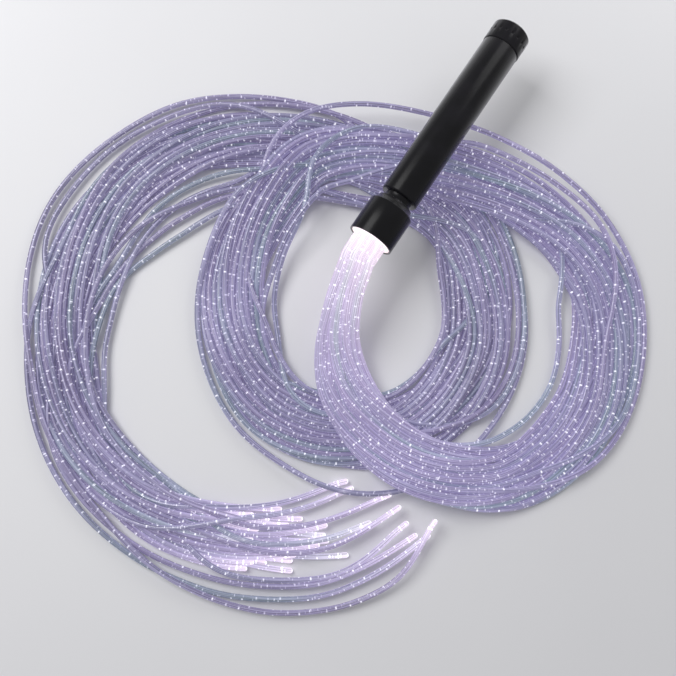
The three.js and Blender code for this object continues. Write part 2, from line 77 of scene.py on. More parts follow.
# %% Find the handle and the coil's middle
SWIVEL = next(joint for joint in frame["joints"] if joint["name"] == "swivel")
MOUTH = Vector(SWIVEL["pos_m"])
TAILWARD = Vector(SWIVEL["axis"]).normalized()
MOUTH_IN_COIL = Vector((0.017, 0.047, 0.033))
COIL = MOUTH - MOUTH_IN_COIL
UP = Vector((0, 0, 1))
print("mouth:", [round(x, 4) for x in MOUTH], "coil:", [round(x, 4) for x in COIL])

# %% [markdown]
# The camera looks down on the table at 81 degrees, from less than half a metre. The lens follows from
# how far the picture spreads at that distance. Setting it first lets every later piece be judged in the
# same frame.

# %% Camera
CAMERA_HEIGHT_ANGLE = math.radians(81)
CAMERA_DISTANCE = 0.457
FOCAL_PIXELS = 816
FRAME_PIXELS = 676
SENSOR = 36


def add_camera():
    """A camera on the near side of the table that looks at the coil's middle."""
    data = bpy.data.cameras.new("photo_view")
    data.sensor_width = SENSOR
    data.lens = SENSOR * FOCAL_PIXELS / FRAME_PIXELS
    camera = bpy.data.objects.new("photo_view", data)
    bpy.context.scene.collection.objects.link(camera)
    back = Vector((0, -math.cos(CAMERA_HEIGHT_ANGLE), math.sin(CAMERA_HEIGHT_ANGLE)))
    camera.location = COIL + back * CAMERA_DISTANCE
    camera.rotation_mode = "QUATERNION"
    camera.rotation_quaternion = (-back).to_track_quat("-Z", "Y")
    bpy.context.scene.camera = camera
    return camera


camera = add_camera()
print("camera at", [round(x, 3) for x in camera.location], "lens", round(camera.data.lens, 1))

# %% [markdown]
# The bundle follows one middle line: out of the mouth, down to the table, and round three rings that
# overlap. A pass that crosses over another lies a layer higher. The points are the wand's own route, in
# metres about the coil's middle. A smooth curve through them is cut into even steps.

# %% The bundle's middle line
LEAD = 0.012
STEP = 0.003
ROUTE = [
    (0.0025, 0.014, 0.027), (-0.0005, -0.007, 0.0205), (0.0055, -0.032, 0.0167),
    (0.022, -0.0545, 0.0163), (0.041, -0.069, 0.0163), (0.065, -0.0775, 0.0145),
    (0.092, -0.077, 0.009), (0.119, -0.062, 0.0054),
    (0.139, -0.037, 0.0049), (0.148, -0.005, 0.0049), (0.146, 0.027, 0.006), (0.131, 0.054, 0.0105),
    (0.107, 0.073, 0.0159), (0.076, 0.089, 0.0163), (0.042, 0.101, 0.0163), (0.010, 0.106, 0.0163),
    (-0.017, 0.101, 0.0163), (-0.038, 0.080, 0.016), (-0.053, 0.054, 0.011), (-0.060, 0.020, 0.006),
    (-0.055, -0.009, 0.0049), (-0.039, -0.036, 0.0049), (-0.016, -0.051, 0.0049),
    (0.010, -0.056, 0.0049), (0.039, -0.050, 0.0049), (0.063, -0.031, 0.0049), (0.078, -0.004, 0.0049),
    (0.079, 0.029, 0.0049), (0.069, 0.061, 0.0049), (0.047, 0.085, 0.0049), (0.015, 0.103, 0.0049),
    (-0.019, 0.115, 0.0049), (-0.054, 0.118, 0.0049), (-0.088, 0.110, 0.0049), (-0.118, 0.091, 0.0049),
    (-0.139, 0.062, 0.0049), (-0.150, 0.029, 0.0049), (-0.152, -0.006, 0.0049),
    (-0.1435, -0.043, 0.0049), (-0.1245, -0.073, 0.0049), (-0.096, -0.095, 0.0049),
    (-0.062, -0.107, 0.0049), (-0.029, -0.1105, 0.0049), (0.004, -0.1075, 0.0049),
    (0.034, -0.100, 0.0049), (0.060, -0.088, 0.0049), (0.082, -0.073, 0.0049),
]


def smooth_line(points, samples=40):
    """A curve through the points whose speed follows the root of their spacing."""
    ends = [2 * points[0] - points[1], *points, 2 * points[-1] - points[-2]]
    line = []
    for a, b, c, d in zip(ends, ends[1:], ends[2:], ends[3:]):
        t1, t2, t3 = (math.sqrt(np.linalg.norm(q - p)) for p, q in ((a, b), (b, c), (c, d)))
        leave = ((b - a) / t1 - (c - a) / (t1 + t2) + (c - b) / t2) * t2
        arrive = ((c - b) / t2 - (d - b) / (t2 + t3) + (d - c) / t3) * t2
        t = np.linspace(0, 1, samples, endpoint=False)[:, None]
        line.append((2 * t**3 - 3 * t**2 + 1) * b + (t**3 - 2 * t**2 + t) * leave
                    + (3 * t**2 - 2 * t**3) * c + (t**3 - t**2) * arrive)
    return np.vstack([*line, points[-1]])


def even_steps(line, step):
    """The same line, cut into steps of about that length."""
    spans = np.linalg.norm(np.diff(line, axis=0), axis=1)
    along = np.concatenate([[0], np.cumsum(spans)])
    places = np.linspace(0, along[-1], round(along[-1] / step) + 1)
    return np.stack([np.interp(places, along, line[:, k]) for k in range(3)], axis=1), along[-1]


lead_end = np.array(MOUTH_IN_COIL - TAILWARD * LEAD)
curved, curved_length = even_steps(smooth_line([lead_end, *map(np.array, ROUTE)]), STEP)
lead = np.linspace(np.array(MOUTH_IN_COIL), lead_end, round(LEAD / STEP), endpoint=False)
MIDDLE = np.vstack([lead, curved]) + np.array(COIL)
ALONG = np.arange(len(MIDDLE)) * STEP
heading = np.gradient(MIDDLE, axis=0)
heading[:, 2] = 0
heading /= np.linalg.norm(heading, axis=1)[:, None]
OUTWARDS = np.cross(heading, [0, 0, 1])
print("middle line:", round(float(ALONG[-1]), 3), "m in", len(MIDDLE), "points")

# %% [markdown]
# In the mouth the rods are packed like a honeycomb. Its middle place and the four rings of places next to
# it make thirty-one, so the rods fill them exactly. On the table the same rods lie as a flat band. Seven
# locks of four rods wander round it, each now inside and now outside, and three single rods go with them.

# %% Places in the mouth and in the band
RODS = 31
ROD = 0.003
LOCKS = 7
PER_LOCK = 4
LOCK_PITCH = 0.00565
PACKING = 0.00312
HONEYCOMB_REACH = 4
STRAYS_TAKEN = (20, 9, 0)
BAND_STRAIGHT = 0.0215
FLATTEN = (0.02, 0.105)
WEAVE_FROM = 0.07
WEAVE_TURNS = 2
BUNDLE_LENGTH = 1.378


def eased(value, low, high):
    """Goes smoothly from nought to one while the value goes from low to high."""
    t = np.clip((value - low) / (high - low), 0, 1)
    return t * t * (3 - 2 * t)


def honeycomb():
    """The thirty-one places nearest to the middle, the inner seven first."""
    places = []
    numbers = range(-HONEYCOMB_REACH, HONEYCOMB_REACH + 1)
    for row in numbers:
        for column in numbers:
            x = (column + row / 2) * PACKING
            y = row * PACKING * math.sqrt(3) / 2
            places.append((round(math.hypot(x, y), 6), math.atan2(y, x) % math.tau, x, y))
    return [place[1:] for place in sorted(places)[:RODS]]


def on_flat_loop(share):
    """Places round a loop with two straight sides, by shares of its length: outwards and up."""
    radius = LOCK_PITCH / 2
    arc = math.pi * radius
    way = (share % 1) * 2 * (BAND_STRAIGHT + arc) + arc / 2
    lap, rest = np.divmod(way, BAND_STRAIGHT + arc)
    turn = np.minimum(rest, arc) / radius - math.pi / 2
    straight = np.maximum(rest - arc, 0)
    across = BAND_STRAIGHT / 2 + radius * np.cos(turn) - straight
    side = np.where(lap % 2 == 0, 1, -1)
    return side * across, side * radius * np.sin(turn)


places = honeycomb()
inner = sorted(places[:LOCKS])
outer = sorted(places[LOCKS:])
stray_places = [outer.pop(i) for i in STRAYS_TAKEN][::-1]
print("inner", len(inner), "outer", len(outer), "stray", len(stray_places))

# %% [markdown]
# On the real coil some rods leave the bundle for a stretch and come back, and three stray from it most of
# the way. Each such stretch is written as the rod's number and then stations: metres along the middle
# line, and how many millimetres outwards of it the rod lies there. Inwards is negative.

# %% Where rods leave the band
MILLIMETRE = 0.001
LEAVE_OVER = 0.07
LEAVE_WANDER_SHARE = 0.6
RAISED = 0.0075
LEAVES = [
    (28, (0.24, 20), (0.34, 23), (0.42, 28), (0.50, 26)), (28, (0.63, -20), (0.86, -20)),
    (28, (0.985, 22), (1.02, 24), (1.055, 28), (1.09, 27), (1.12, 30), (1.135, 30), (1.16, 27), (1.21, 18),
     (1.25, 17), (1.283, 18), (1.30, 21), (1.32, 27), (1.35, 33), (1.375, 37), (1.408, 36), (1.437, 28),
     (1.461, 2)),
    (29, (0.20, -22), (0.31, -26)), (29, (0.55, -24), (0.63, -25)), (29, (0.80, 24), (0.90, 22)),
    (29, (1.20, 21), (1.30, 26), (1.35, 30), (1.40, 29), (1.428, 21), (1.455, 10)),
    (30, (0.56, 16), (0.62, 19), (0.695, 22), (0.722, 29), (0.751, 31), (0.782, 28), (0.813, 24),
     (0.88, 22)),
    (30, (1.04, -28), (1.10, -28), (1.15, -28), (1.185, -26), (1.213, -21)),
    (30, (1.35, -15), (1.386, -22), (1.419, -30)),
    (3, (0.26, 18), (0.33, 19)), (27, (0.35, 17), (0.42, 18)),
    (16, (0.50, -21), (0.58, -22)), (20, (0.70, -21), (0.80, -21)),
    (7, (0.80, 22), (0.90, 21)), (11, (0.94, -24), (1.03, -33), (1.07, -32), (1.10, -28), (1.122, -22),
     (1.16, -16), (1.26, -13), (1.34, -12)),
    (13, (0.95, -24), (1.03, -36), (1.083, -37), (1.11, -34), (1.143, -26), (1.161, -21)),
    (22, (0.93, -22), (0.99, -35), (1.045, -42), (1.071, -44), (1.098, -44), (1.119, -40), (1.137, -34),
     (1.164, -23)),
    (19, (1.00, -21), (1.14, -23)),
    (24, (1.04, 21), (1.14, 23)), (15, (0.96, 20), (1.02, 20)),
    (1, (1.26, 20), (1.36, 24), (1.398, 23), (1.428, 15), (1.449, 9)),
    (23, (1.36, 22), (1.404, 23), (1.419, 18), (1.446, 1)), (5, (1.37, -13), (1.404, -19), (1.422, -25)),
    (15, (1.37, -6), (1.401, -7), (1.443, -15)), (9, (1.38, 6), (1.404, 5), (1.446, -9)),
    (18, (1.37, 3), (1.407, 1), (1.428, -4)),
]
print("stretches apart from the band:", len(LEAVES))

# %% [markdown]
# A rod's laid shape comes in two steps. First each rod gets a rough path: its place in the mouth fades
# into its place in the band, with a slow wander, and then it takes its stretches apart from the band. A
# stiff rod has no sharp bend, so all of this is smoothed. The rough paths still run through each other.

# %% Rough paths of all rods
STRAY_LOCK = [0, 3, 6]
WANDER = 0.0012
NOISE_KNOTS = 0.2
SPARE_KNOTS = 4
BEND_REACH = 15
SMOOTHED = 0.012
LOCK_WIDENED = 1.4
LOCK_FIRST_TURN = 0.7
LOCK_TWIST = 9
rng = np.random.default_rng(31)


def bend_weights(spread):
    """Weights by which a stiff rod shares a push with its neighbouring points."""
    span = np.arange(-BEND_REACH, BEND_REACH + 1) * STEP
    weights = np.exp(-(span / spread) ** 2)
    return weights / weights.sum()


def spread_along(values, weights):
    """Each rod's values, averaged over its neighbouring points."""
    half = len(weights) // 2
    padded = np.pad(values, ((0, 0), (half, half), (0, 0)), mode="edge")
    return sum(w * padded[:, k:k + values.shape[1]] for k, w in enumerate(weights))


def slow_noise(scale, reach=NOISE_KNOTS):
    """Smooth noise along the rods, one row a rod."""
    knots = rng.normal(0, scale, (RODS, int(ALONG[-1] / reach) + SPARE_KNOTS))
    at = ALONG / reach
    low = at.astype(int)
    t = eased(at - low, 0, 1)
    return knots[:, low] * (1 - t) + knots[:, low + 1] * t


def rough_paths():
    """Every rod's path, from its place in the mouth into the band and away from it where it leaves."""
    flat = eased(ALONG, *FLATTEN)
    woven = WEAVE_TURNS * np.maximum(ALONG - WEAVE_FROM, 0) / (BUNDLE_LENGTH - WEAVE_FROM)
    wander = slow_noise(WANDER)
    outwards, up = np.zeros((2, RODS, len(ALONG)))
    for rod in range(RODS):
        if rod < LOCKS * PER_LOCK:
            lock, member = divmod(rod, PER_LOCK)
            place = inner[lock] if member == 0 else outer[lock * (PER_LOCK - 1) + member - 1]
            share = (lock + 0.5) / LOCKS
        else:
            member = 0
            place = stray_places[rod - LOCKS * PER_LOCK]
            share = STRAY_LOCK[rod - LOCKS * PER_LOCK] / LOCKS
        across, height = on_flat_loop(share + woven)
        corner = math.tau * member / PER_LOCK + LOCK_FIRST_TURN + LOCK_TWIST * woven
        across = across + ROD / 2 * LOCK_WIDENED * np.cos(corner) + wander[rod]
        height = height + ROD / 2 * np.sin(corner)
        outwards[rod] = place[1] * (1 - flat) + across * flat
        up[rod] = place[2] * (1 - flat) + height * flat
    for rod, *stations in LEAVES:
        at, reach = np.array(stations).T
        gone = eased(ALONG, at[0] - LEAVE_OVER, at[0]) * (1 - eased(ALONG, at[-1], at[-1] + LEAVE_OVER))
        away = np.interp(ALONG, at, reach) * MILLIMETRE
        outwards[rod] += (away + wander[rod] * LEAVE_WANDER_SHARE - outwards[rod]) * gone
        up[rod] += (RAISED - up[rod]) * gone
    offsets = spread_along(np.stack([outwards, up], axis=2), bend_weights(SMOOTHED))
    paths = MIDDLE + offsets[:, :, :1] * OUTWARDS + offsets[:, :, 1:] * np.array(UP)
    paths[:, :, 2] = np.maximum(paths[:, :, 2], ROD / 2)
    return paths


rough = rough_paths()
print("rough paths:", rough.shape, "highest", round(float(rough[:, :, 2].max()), 4))

# %% [markdown]
# Rods that are too close have to be found before they can be pushed apart. To compare every point with
# every other would take minutes. So space is cut into small cells, each cell gets a number, and only
# points in the same cell or in cells that adjoin it are paired.

# %% Find points that are close
PAIR_REACH = 0.0052
CELL_SHIFT = 200
CELL_ROW = 1000


def near_pairs(points, reach):
    """Pairs of points that share or adjoin a cell of that size."""
    cell = np.floor(points / reach).astype(np.int64) + CELL_SHIFT
    key = (cell[:, 0] * CELL_ROW + cell[:, 1]) * CELL_ROW + cell[:, 2]
    order = np.argsort(key, kind="stable")
    found = key[order]
    pairs = []
    for dx in (-1, 0, 1):
        for dy in (-1, 0, 1):
            for dz in (-1, 0, 1):
                shift = (dx * CELL_ROW + dy) * CELL_ROW + dz
                if shift < 0:
                    continue
                low = np.searchsorted(found, key + shift, "left")
                count = np.searchsorted(found, key + shift, "right") - low
                first = np.repeat(np.arange(len(key)), count)
                start = np.repeat(low - np.cumsum(count) + count, count)
                second = order[start + np.arange(len(first))]
                keep = first < second if shift == 0 else first != second
                pairs.append(np.stack([first[keep], second[keep]]))
    return np.concatenate(pairs, axis=1)


print("pairs of close points:", near_pairs(rough.reshape(-1, 3), PAIR_REACH).shape[1])

# %% [markdown]
# Then the rods are dropped. In each round every rod sinks a little, and wherever two rods are closer
# than one diameter both are pushed apart. The pushes are spread along the rod, which is what a stiff
# rod does with them. The table and the handle push, too. A numpy loop does this in a few seconds, and
# it gives the same result each time.

# %% Drop the rods on the table
ROUNDS = 90
SINK = 0.00006
SPREAD = 0.022
HELD = 0.014
FREE_AFTER = 0.05
TUBE_RADIUS = 0.0107
TUBE_CLEAR = 0.0004
BARREL_CLEAR = TUBE_RADIUS + ROD / 2 + TUBE_CLEAR
BARREL_FROM = 0.018
PAIRS_EVERY = 6
OWN_NEIGHBOURS = 6
PUSH_POWER = 0.6
PUSH_GAIN = 1.7
SIDE_KEPT = 0.97
TINY = 1e-6


def dropped(paths):
    """The paths after all rounds of sinking and pushing."""
    count = paths.shape[1]
    weights = bend_weights(SPREAD)
    free = eased(ALONG, HELD, HELD + FREE_AFTER)[None, :, None]
    moved = np.zeros_like(paths)
    rods = np.repeat(np.arange(RODS), count)
    for turn in range(ROUNDS):
        now = (paths + moved).reshape(-1, 3)
        if turn % PAIRS_EVERY == 0:
            a, b = near_pairs(now, PAIR_REACH)
            other = (rods[a] != rods[b]) | (np.abs(a - b) > OWN_NEIGHBOURS)
            a, b = a[other], b[other]
        gap = now[a] - now[b]
        far = np.linalg.norm(gap, axis=1)
        push = np.maximum(ROD - far, 0) / np.maximum(far, TINY)
        shove = gap * (push / 2)[:, None]
        sums = np.zeros_like(now)
        for k in range(3):
            sums[:, k] = np.bincount(a, shove[:, k], len(now)) - np.bincount(b, shove[:, k], len(now))
        hits = np.bincount(a, push > 0, len(now)) + np.bincount(b, push > 0, len(now))
        sums /= np.maximum(hits, 1)[:, None] ** PUSH_POWER
        sums = sums.reshape(paths.shape)
        sums[:, :, 2] -= SINK
        moved += spread_along(sums * PUSH_GAIN, weights) * free
        moved[:, :, :2] *= SIDE_KEPT
        moved = on_the_table(off_the_handle(paths + moved)) - paths
    return on_the_table(paths + spread_along(moved, weights) * free)


def on_the_table(laid):
    """No rod's middle sinks lower than half its thickness."""
    laid[:, :, 2] = np.maximum(laid[:, :, 2], ROD / 2)
    return laid


def off_the_handle(laid):
    """Points under the handle are kept clear of its tube."""
    away = laid - np.array(MOUTH)
    along = away @ np.array(TAILWARD)
    radial = away - along[:, :, None] * np.array(TAILWARD)
    far = np.linalg.norm(radial, axis=2)
    inside = (along > BARREL_FROM) & (far < BARREL_CLEAR)
    lift = np.where(inside, BARREL_CLEAR / np.maximum(far, TINY) - 1, 0)
    return laid + radial * lift[:, :, None]


laid = dropped(rough)
print("laid: lowest", round(float(laid[:, :, 2].min()), 5), "highest", round(float(laid[:, :, 2].max()), 4))

# %% [markdown]
# Each rod becomes a tube with ten sides round its laid path, with a flat end inside the mouth and a
# rounded, melted tip. Three things are kept on every point: where it is on the rolled-out rod, how far it
# is from the tip, and a number of the rod's own. The finish reads them, so its dots keep their size and
# shape wherever a rod bends.

# %% The mesh of a rod
SIDES = 10
TIP_RINGS = 4
TIP_END_SHARE = 0.02
INSIDE_MOUTH = 0.0006


def cut_rod(path, station):
    """The path up to a station, begun a little inside the mouth, with the distance along it."""
    path = path[:round(station / STEP) + 1].copy()
    path[0] += np.array(TAILWARD) * INSIDE_MOUTH
    spans = np.linalg.norm(np.diff(path, axis=0), axis=1)
    return path, np.concatenate([[0], np.cumsum(spans)])


def with_round_tip(path, along):
    """Ring centres, radii and distances, with the melted tip's rings at the end."""
    ahead = path[-1] - path[-2]
    ahead /= np.linalg.norm(ahead)
    bulge = np.arange(1, TIP_RINGS + 1) / TIP_RINGS * math.pi / 2
    reach = np.sin(bulge) * ROD / 2
    centres = np.vstack([path, path[-1] + ahead * reach[:, None]])
    narrowed = np.maximum(np.cos(bulge), TIP_END_SHARE) * ROD / 2
    radii = np.concatenate([np.full(len(path), ROD / 2), narrowed])
    return centres, radii, np.concatenate([along, along[-1] + reach])


def keep_on_points(mesh, key, kind, values):
    """Stores one value for each point under a name that the finish can read."""
    slot = "vector" if kind == "FLOAT_VECTOR" else "value"
    mesh.attributes.new(key, kind, "POINT").data.foreach_set(slot, values.ravel())


def rod_mesh(name, path, along):
    """A tube of rings round the path, closed at both ends, as a new object."""
    centres, radii, along = with_round_tip(path, along)
    ahead = np.gradient(centres, axis=0)
    ahead /= np.linalg.norm(ahead, axis=1)[:, None]
    side = np.cross(ahead, [0, 0, 1])
    side /= np.linalg.norm(side, axis=1)[:, None]
    over = np.cross(side, ahead)
    angle = np.arange(SIDES) / SIDES * math.tau
    ring = side[:, None] * np.cos(angle)[None, :, None] + over[:, None] * np.sin(angle)[None, :, None]
    points = (centres[:, None] + ring * radii[:, None, None]).reshape(-1, 3)
    count = len(centres)
    first = np.arange(count - 1)[:, None] * SIDES + np.arange(SIDES)[None]
    second = np.arange(count - 1)[:, None] * SIDES + (np.arange(SIDES)[None] + 1) % SIDES
    quads = np.stack([first, first + SIDES, second + SIDES, second], axis=2).reshape(-1, 4)
    last_ring = range(count * SIDES - 1, (count - 1) * SIDES - 1, -1)
    faces = [*quads.tolist(), list(range(SIDES)), list(last_ring)]
    mesh = bpy.data.meshes.new(name)
    mesh.from_pydata(points.tolist(), [], faces)
    rolled = np.stack([np.tile(np.cos(angle), count), np.tile(np.sin(angle), count),
                       np.repeat(along, SIDES)], axis=1)
    keep_on_points(mesh, "rolled_out", "FLOAT_VECTOR", rolled)
    keep_on_points(mesh, "from_tip", "FLOAT", np.repeat(along[-1] - along, SIDES))
    keep_on_points(mesh, "own_number", "FLOAT", np.full(count * SIDES, rng.uniform()))
    mesh.polygons.foreach_set("use_smooth", [len(face) == 4 for face in faces])
    rod = bpy.data.objects.new(name, mesh)
    bpy.context.scene.collection.objects.link(rod)
    return rod


print("a rod has", SIDES, "sides, and its tip", TIP_RINGS, "rings")

# %% [markdown]
# Most rods end near one station of the middle line, and the few whose tips stand apart have a station of
# their own. The first twenty-eight rods stand for the imported model's locks, four for each, and the last
# three for its stray rods. Each rod is as long as its path measures.

# %% Make the rods
TIP_STATION = 1.388
TIP_SPREAD = 0.027
LONG_TIPS = {28: 1.461, 29: 1.455, 1: 1.449, 23: 1.446, 30: 1.419, 5: 1.422, 15: 1.443, 9: 1.446,
             18: 1.428}
rods = []
lengths = []
for index in range(RODS):
    station = LONG_TIPS.get(index, TIP_STATION + rng.uniform(-1, 1) * TIP_SPREAD)
    path, along = cut_rod(laid[index], station)
    rod = rod_mesh(f"rod_{index + 1:02d}", path, along)
    single = index >= LOCKS * PER_LOCK
    node = f"stray_rod_{index - LOCKS * PER_LOCK + 1}" if single else f"fibre_lock_{index // PER_LOCK + 1}"
    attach(rod, "fibre_head")
    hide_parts(node)
    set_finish(rod, "clear_rod")
    rods.append(rod)
    lengths.append(float(along[-1]))
print("rods:", len(rods), "lengths from", round(min(lengths), 3), "to", round(max(lengths), 3))

# %% [markdown]
# The handle's pieces are turned on a lathe, so each is a ring swept round one line. Their sizes are read
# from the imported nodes: how far each point lies along the handle's line, and how far out from it.

# %% Measure the handle
GAP = 0.0003
AXIS_TURN = TAILWARD.to_track_quat("Z", "Y")


def along_and_out(node):
    """How far a node's points lie from the mouth along the handle, and from the handle's line."""
    mesh = NODES[node].data
    points = np.empty(len(mesh.vertices) * 3)
    mesh.vertices.foreach_get("co", points)
    away = points.reshape(-1, 3) - np.array(MOUTH)
    along = away @ np.array(TAILWARD)
    return along, np.linalg.norm(away - along[:, None] * np.array(TAILWARD), axis=1)


def reach_of(node):
    """Where a node starts and ends along the handle, and its outer and inner radius."""
    along, out = along_and_out(node)
    return float(along.min()), float(along.max()), float(out.max()), float(out.min())


_, collar_end, collar_radius, collar_run = reach_of("front_collar")
plug_start, plug_end, plug_radius, _ = reach_of("bundle_plug")
barrel_start, barrel_end, barrel_radius, neck_bore = reach_of("barrel")
cap_start, cap_end, cap_radius, _ = reach_of("tail_cap")
button_start, button_end, flange_radius, _ = reach_of("tail_button")
mouth_bore = plug_radius + GAP
neck_radius = collar_run - GAP
print("collar to", round(collar_end, 4), "radius", round(collar_radius, 4),
      "tube radius", round(barrel_radius, 4))

# %% [markdown]
# A turned piece is made as on a lathe: a circle is drawn, then extruded along the line and scaled, ring
# by ring. A hollow piece closes back on its first ring by a bridge, and a full one gets flat ends. A small
# bevel breaks its sharp edges, since no turned edge is quite sharp and a broken edge catches the light.

# %% Turned pieces
TURNED_SIDES = 96
EDGE_BREAK = 0.00014
SHARP_ANGLE = math.radians(25)
SMOOTH_ANGLE = math.radians(28)


def start_clean():
    """Operators act on all that is selected, so each piece starts with nothing selected."""
    bpy.ops.object.select_all(action="DESELECT")


def turned(name, outline, hollow, edge_break=EDGE_BREAK):
    """A piece turned about the handle's line, from [along, radius] pairs."""
    start_clean()
    along, radius = outline[0]
    bpy.ops.mesh.primitive_circle_add(vertices=TURNED_SIDES, radius=radius, location=(0, 0, along))
    piece = bpy.context.object
    piece.name = piece.data.name = name
    bpy.ops.object.mode_set(mode="EDIT")
    bpy.ops.mesh.select_all(action="SELECT")
    for next_along, next_radius in outline[1:]:
        bpy.ops.mesh.extrude_region_move(TRANSFORM_OT_translate={"value": (0, 0, next_along - along)})
        grow = next_radius / radius
        bpy.ops.transform.resize(value=(grow, grow, 1), center_override=(0, 0, next_along))
        along, radius = next_along, next_radius
    bpy.ops.mesh.select_non_manifold()
    if hollow:
        bpy.ops.mesh.bridge_edge_loops()
    else:
        bpy.ops.mesh.fill_holes(sides=0)
    bpy.ops.mesh.select_all(action="SELECT")
    bpy.ops.mesh.normals_make_consistent(inside=False)
    bpy.ops.object.mode_set(mode="OBJECT")
    if edge_break:
        break_edges(piece, edge_break)
    return piece


def break_edges(piece, width):
    """Bevels the edges that turn by more than the sharp angle."""
    bevel = piece.modifiers.new("edge_break", "BEVEL")
    bevel.width = width
    bevel.segments = 2
    bevel.limit_method = "ANGLE"
    bevel.angle_limit = SHARP_ANGLE
    bpy.ops.object.modifier_apply(modifier=bevel.name)


def onto_handle(piece, body, node, slot):
    """Lays a piece made about +Z along the handle, smooths it and puts it in its node's stead."""
    start_clean()
    piece.select_set(True)
    bpy.context.view_layer.objects.active = piece
    bpy.ops.object.transform_apply(location=True, rotation=True, scale=True)
    piece.rotation_mode = "QUATERNION"
    piece.rotation_quaternion = AXIS_TURN
    piece.location = MOUTH
    bpy.ops.object.transform_apply(location=True, rotation=True, scale=True)
    bpy.ops.object.shade_smooth_by_angle(angle=SMOOTH_ANGLE)
    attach(piece, body)
    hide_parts(node)
    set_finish(piece, slot)
    print(piece.name, len(piece.data.polygons), "faces")


# %% [markdown]
# The collar is a thin sleeve that narrows behind in a hollow curve, where it runs on the neck. The glowing
# plug fills its mouth just behind the rim. Its face stands a little proud in the middle, as poured resin
# that was polished by hand does.

# %% Collar and plug
COLLAR_STRAIGHT = 0.020
COLLAR_FLOOR = 0.0058
SHOULDER_WALL = 0.0009
SHOULDER_CURVE = 1.35
SHOULDER_STEPS = 9
BACK_RIM = 0.0003
PLUG_DOME = 0.0002
PLUG_SHARES = (0.35, 0.6, 0.8, 0.92, 1)


def collar_outline():
    shoulder_radius = collar_run + SHOULDER_WALL
    floor_at = collar_end - COLLAR_FLOOR
    outline = [(floor_at, collar_run), (floor_at, mouth_bore), (0, mouth_bore), (0, collar_radius)]
    outline.append((COLLAR_STRAIGHT, collar_radius))
    for step in range(1, SHOULDER_STEPS + 1):
        share = step / SHOULDER_STEPS
        drop = (collar_radius - shoulder_radius) * (1 - (1 - share) ** SHOULDER_CURVE)
        run = (collar_end - BACK_RIM - COLLAR_STRAIGHT) * share
        outline.append((COLLAR_STRAIGHT + run, collar_radius - drop))
    return [*outline, (collar_end, shoulder_radius), (collar_end, collar_run)]


def plug_outline():
    face = [(plug_start - PLUG_DOME * (1 - share**2), plug_radius * share) for share in PLUG_SHARES]
    return [*face, (plug_end, plug_radius)]


collar = turned("collar_sleeve", collar_outline(), True)
onto_handle(collar, "fibre_head", "front_collar", "anodised")
plug = turned("mouth_plug", plug_outline(), False, 0)
onto_handle(plug, "fibre_head", "bundle_plug", "resin")

# %% [markdown]
# The barrel and its neck are one turning. The neck carries two grooves, one for the clip that keeps the
# collar on and one for the seal. Where it shows, in front of the tube, the lathe tool ran out in a third,
# wide groove, and the tube starts with a bright chamfer. The clip's and the seal's own nodes say where
# their grooves are.

# %% Barrel
NECK_SHOWS = 0.0036
WEB = 0.0034
TUBE_CHAMFER = 0.0007
RUNOUT_RADIUS = 0.0076
RUNOUT_EASE = 0.0004
clip_start, clip_end, _, clip_inner = reach_of("swivel_circlip")
seal_start, seal_end, _, seal_inner = reach_of("neck_o_ring")
barrel_bore = reach_of("battery_cell")[2] + GAP
tube_start = collar_end + NECK_SHOWS


def groove(start, end, depth_radius):
    """Four corners of a groove in the neck, a gap wider than what lies in it."""
    return [(start - GAP, neck_radius), (start - GAP, depth_radius),
            (end + GAP, depth_radius), (end + GAP, neck_radius)]


def barrel_outline():
    return [
        (barrel_start, neck_bore), (barrel_start, neck_radius),
        *groove(clip_start, clip_end, clip_inner - GAP),
        *groove(seal_start, seal_end, seal_inner - GAP),
        (collar_end + RUNOUT_EASE, neck_radius), (collar_end + 2 * RUNOUT_EASE, RUNOUT_RADIUS),
        (tube_start, RUNOUT_RADIUS), (tube_start, barrel_radius - TUBE_CHAMFER),
        (tube_start + TUBE_CHAMFER, barrel_radius), (barrel_end, barrel_radius),
        (barrel_end, barrel_bore), (tube_start + WEB, barrel_bore), (tube_start + WEB, neck_bore),
    ]


barrel = turned("tube_and_neck", barrel_outline(), True)
onto_handle(barrel, "handle", "barrel", "anodised")

# %% [markdown]
# The tail cap screws into the barrel by a spigot with a groove for its seal. Its grip has eighteen short
# flutes, which a ball-nosed cutter leaves. One cutter is modelled from a sphere whose halves are pulled
# apart, copied round the cap, and taken away from it by a Boolean modifier.

# %% Tail cap
FLUTES = 18
FLUTE_RADIUS = 0.0011
FLUTE_LENGTH = 0.0062
FLUTE_DEPTH_SHARE = 0.45
CAP_CHAMFER = 0.0009
CAP_END_WALL = 0.0058
SPIGOT_WALL = 0.0016
SPIGOT_LENGTH = 0.0064
CUTTER_SIDES = 20
BUTTON_INSET = 0.0017
cap_seal_start, cap_seal_end, _, cap_seal_inner = reach_of("tail_o_ring")
spigot_radius = barrel_bore - GAP
spigot_bore = spigot_radius - SPIGOT_WALL
button_radius = spigot_bore - BUTTON_INSET
grip_start = cap_start + SPIGOT_LENGTH
cap_hole = button_radius + GAP
cap_inner_end = cap_end - CAP_END_WALL


def cap_outline():
    return [
        (cap_start, spigot_bore), (cap_start, spigot_radius),
        (cap_seal_start - GAP, spigot_radius), (cap_seal_start - GAP, cap_seal_inner - GAP / 2),
        (cap_seal_end + GAP, cap_seal_inner - GAP / 2), (cap_seal_end + GAP, spigot_radius),
        (grip_start, spigot_radius), (grip_start, cap_radius - CAP_CHAMFER / 2),
        (grip_start + CAP_CHAMFER / 2, cap_radius), (cap_end - CAP_CHAMFER, cap_radius),
        (cap_end, cap_radius - CAP_CHAMFER), (cap_end, cap_hole),
        (cap_inner_end, cap_hole), (cap_inner_end, spigot_bore),
    ]


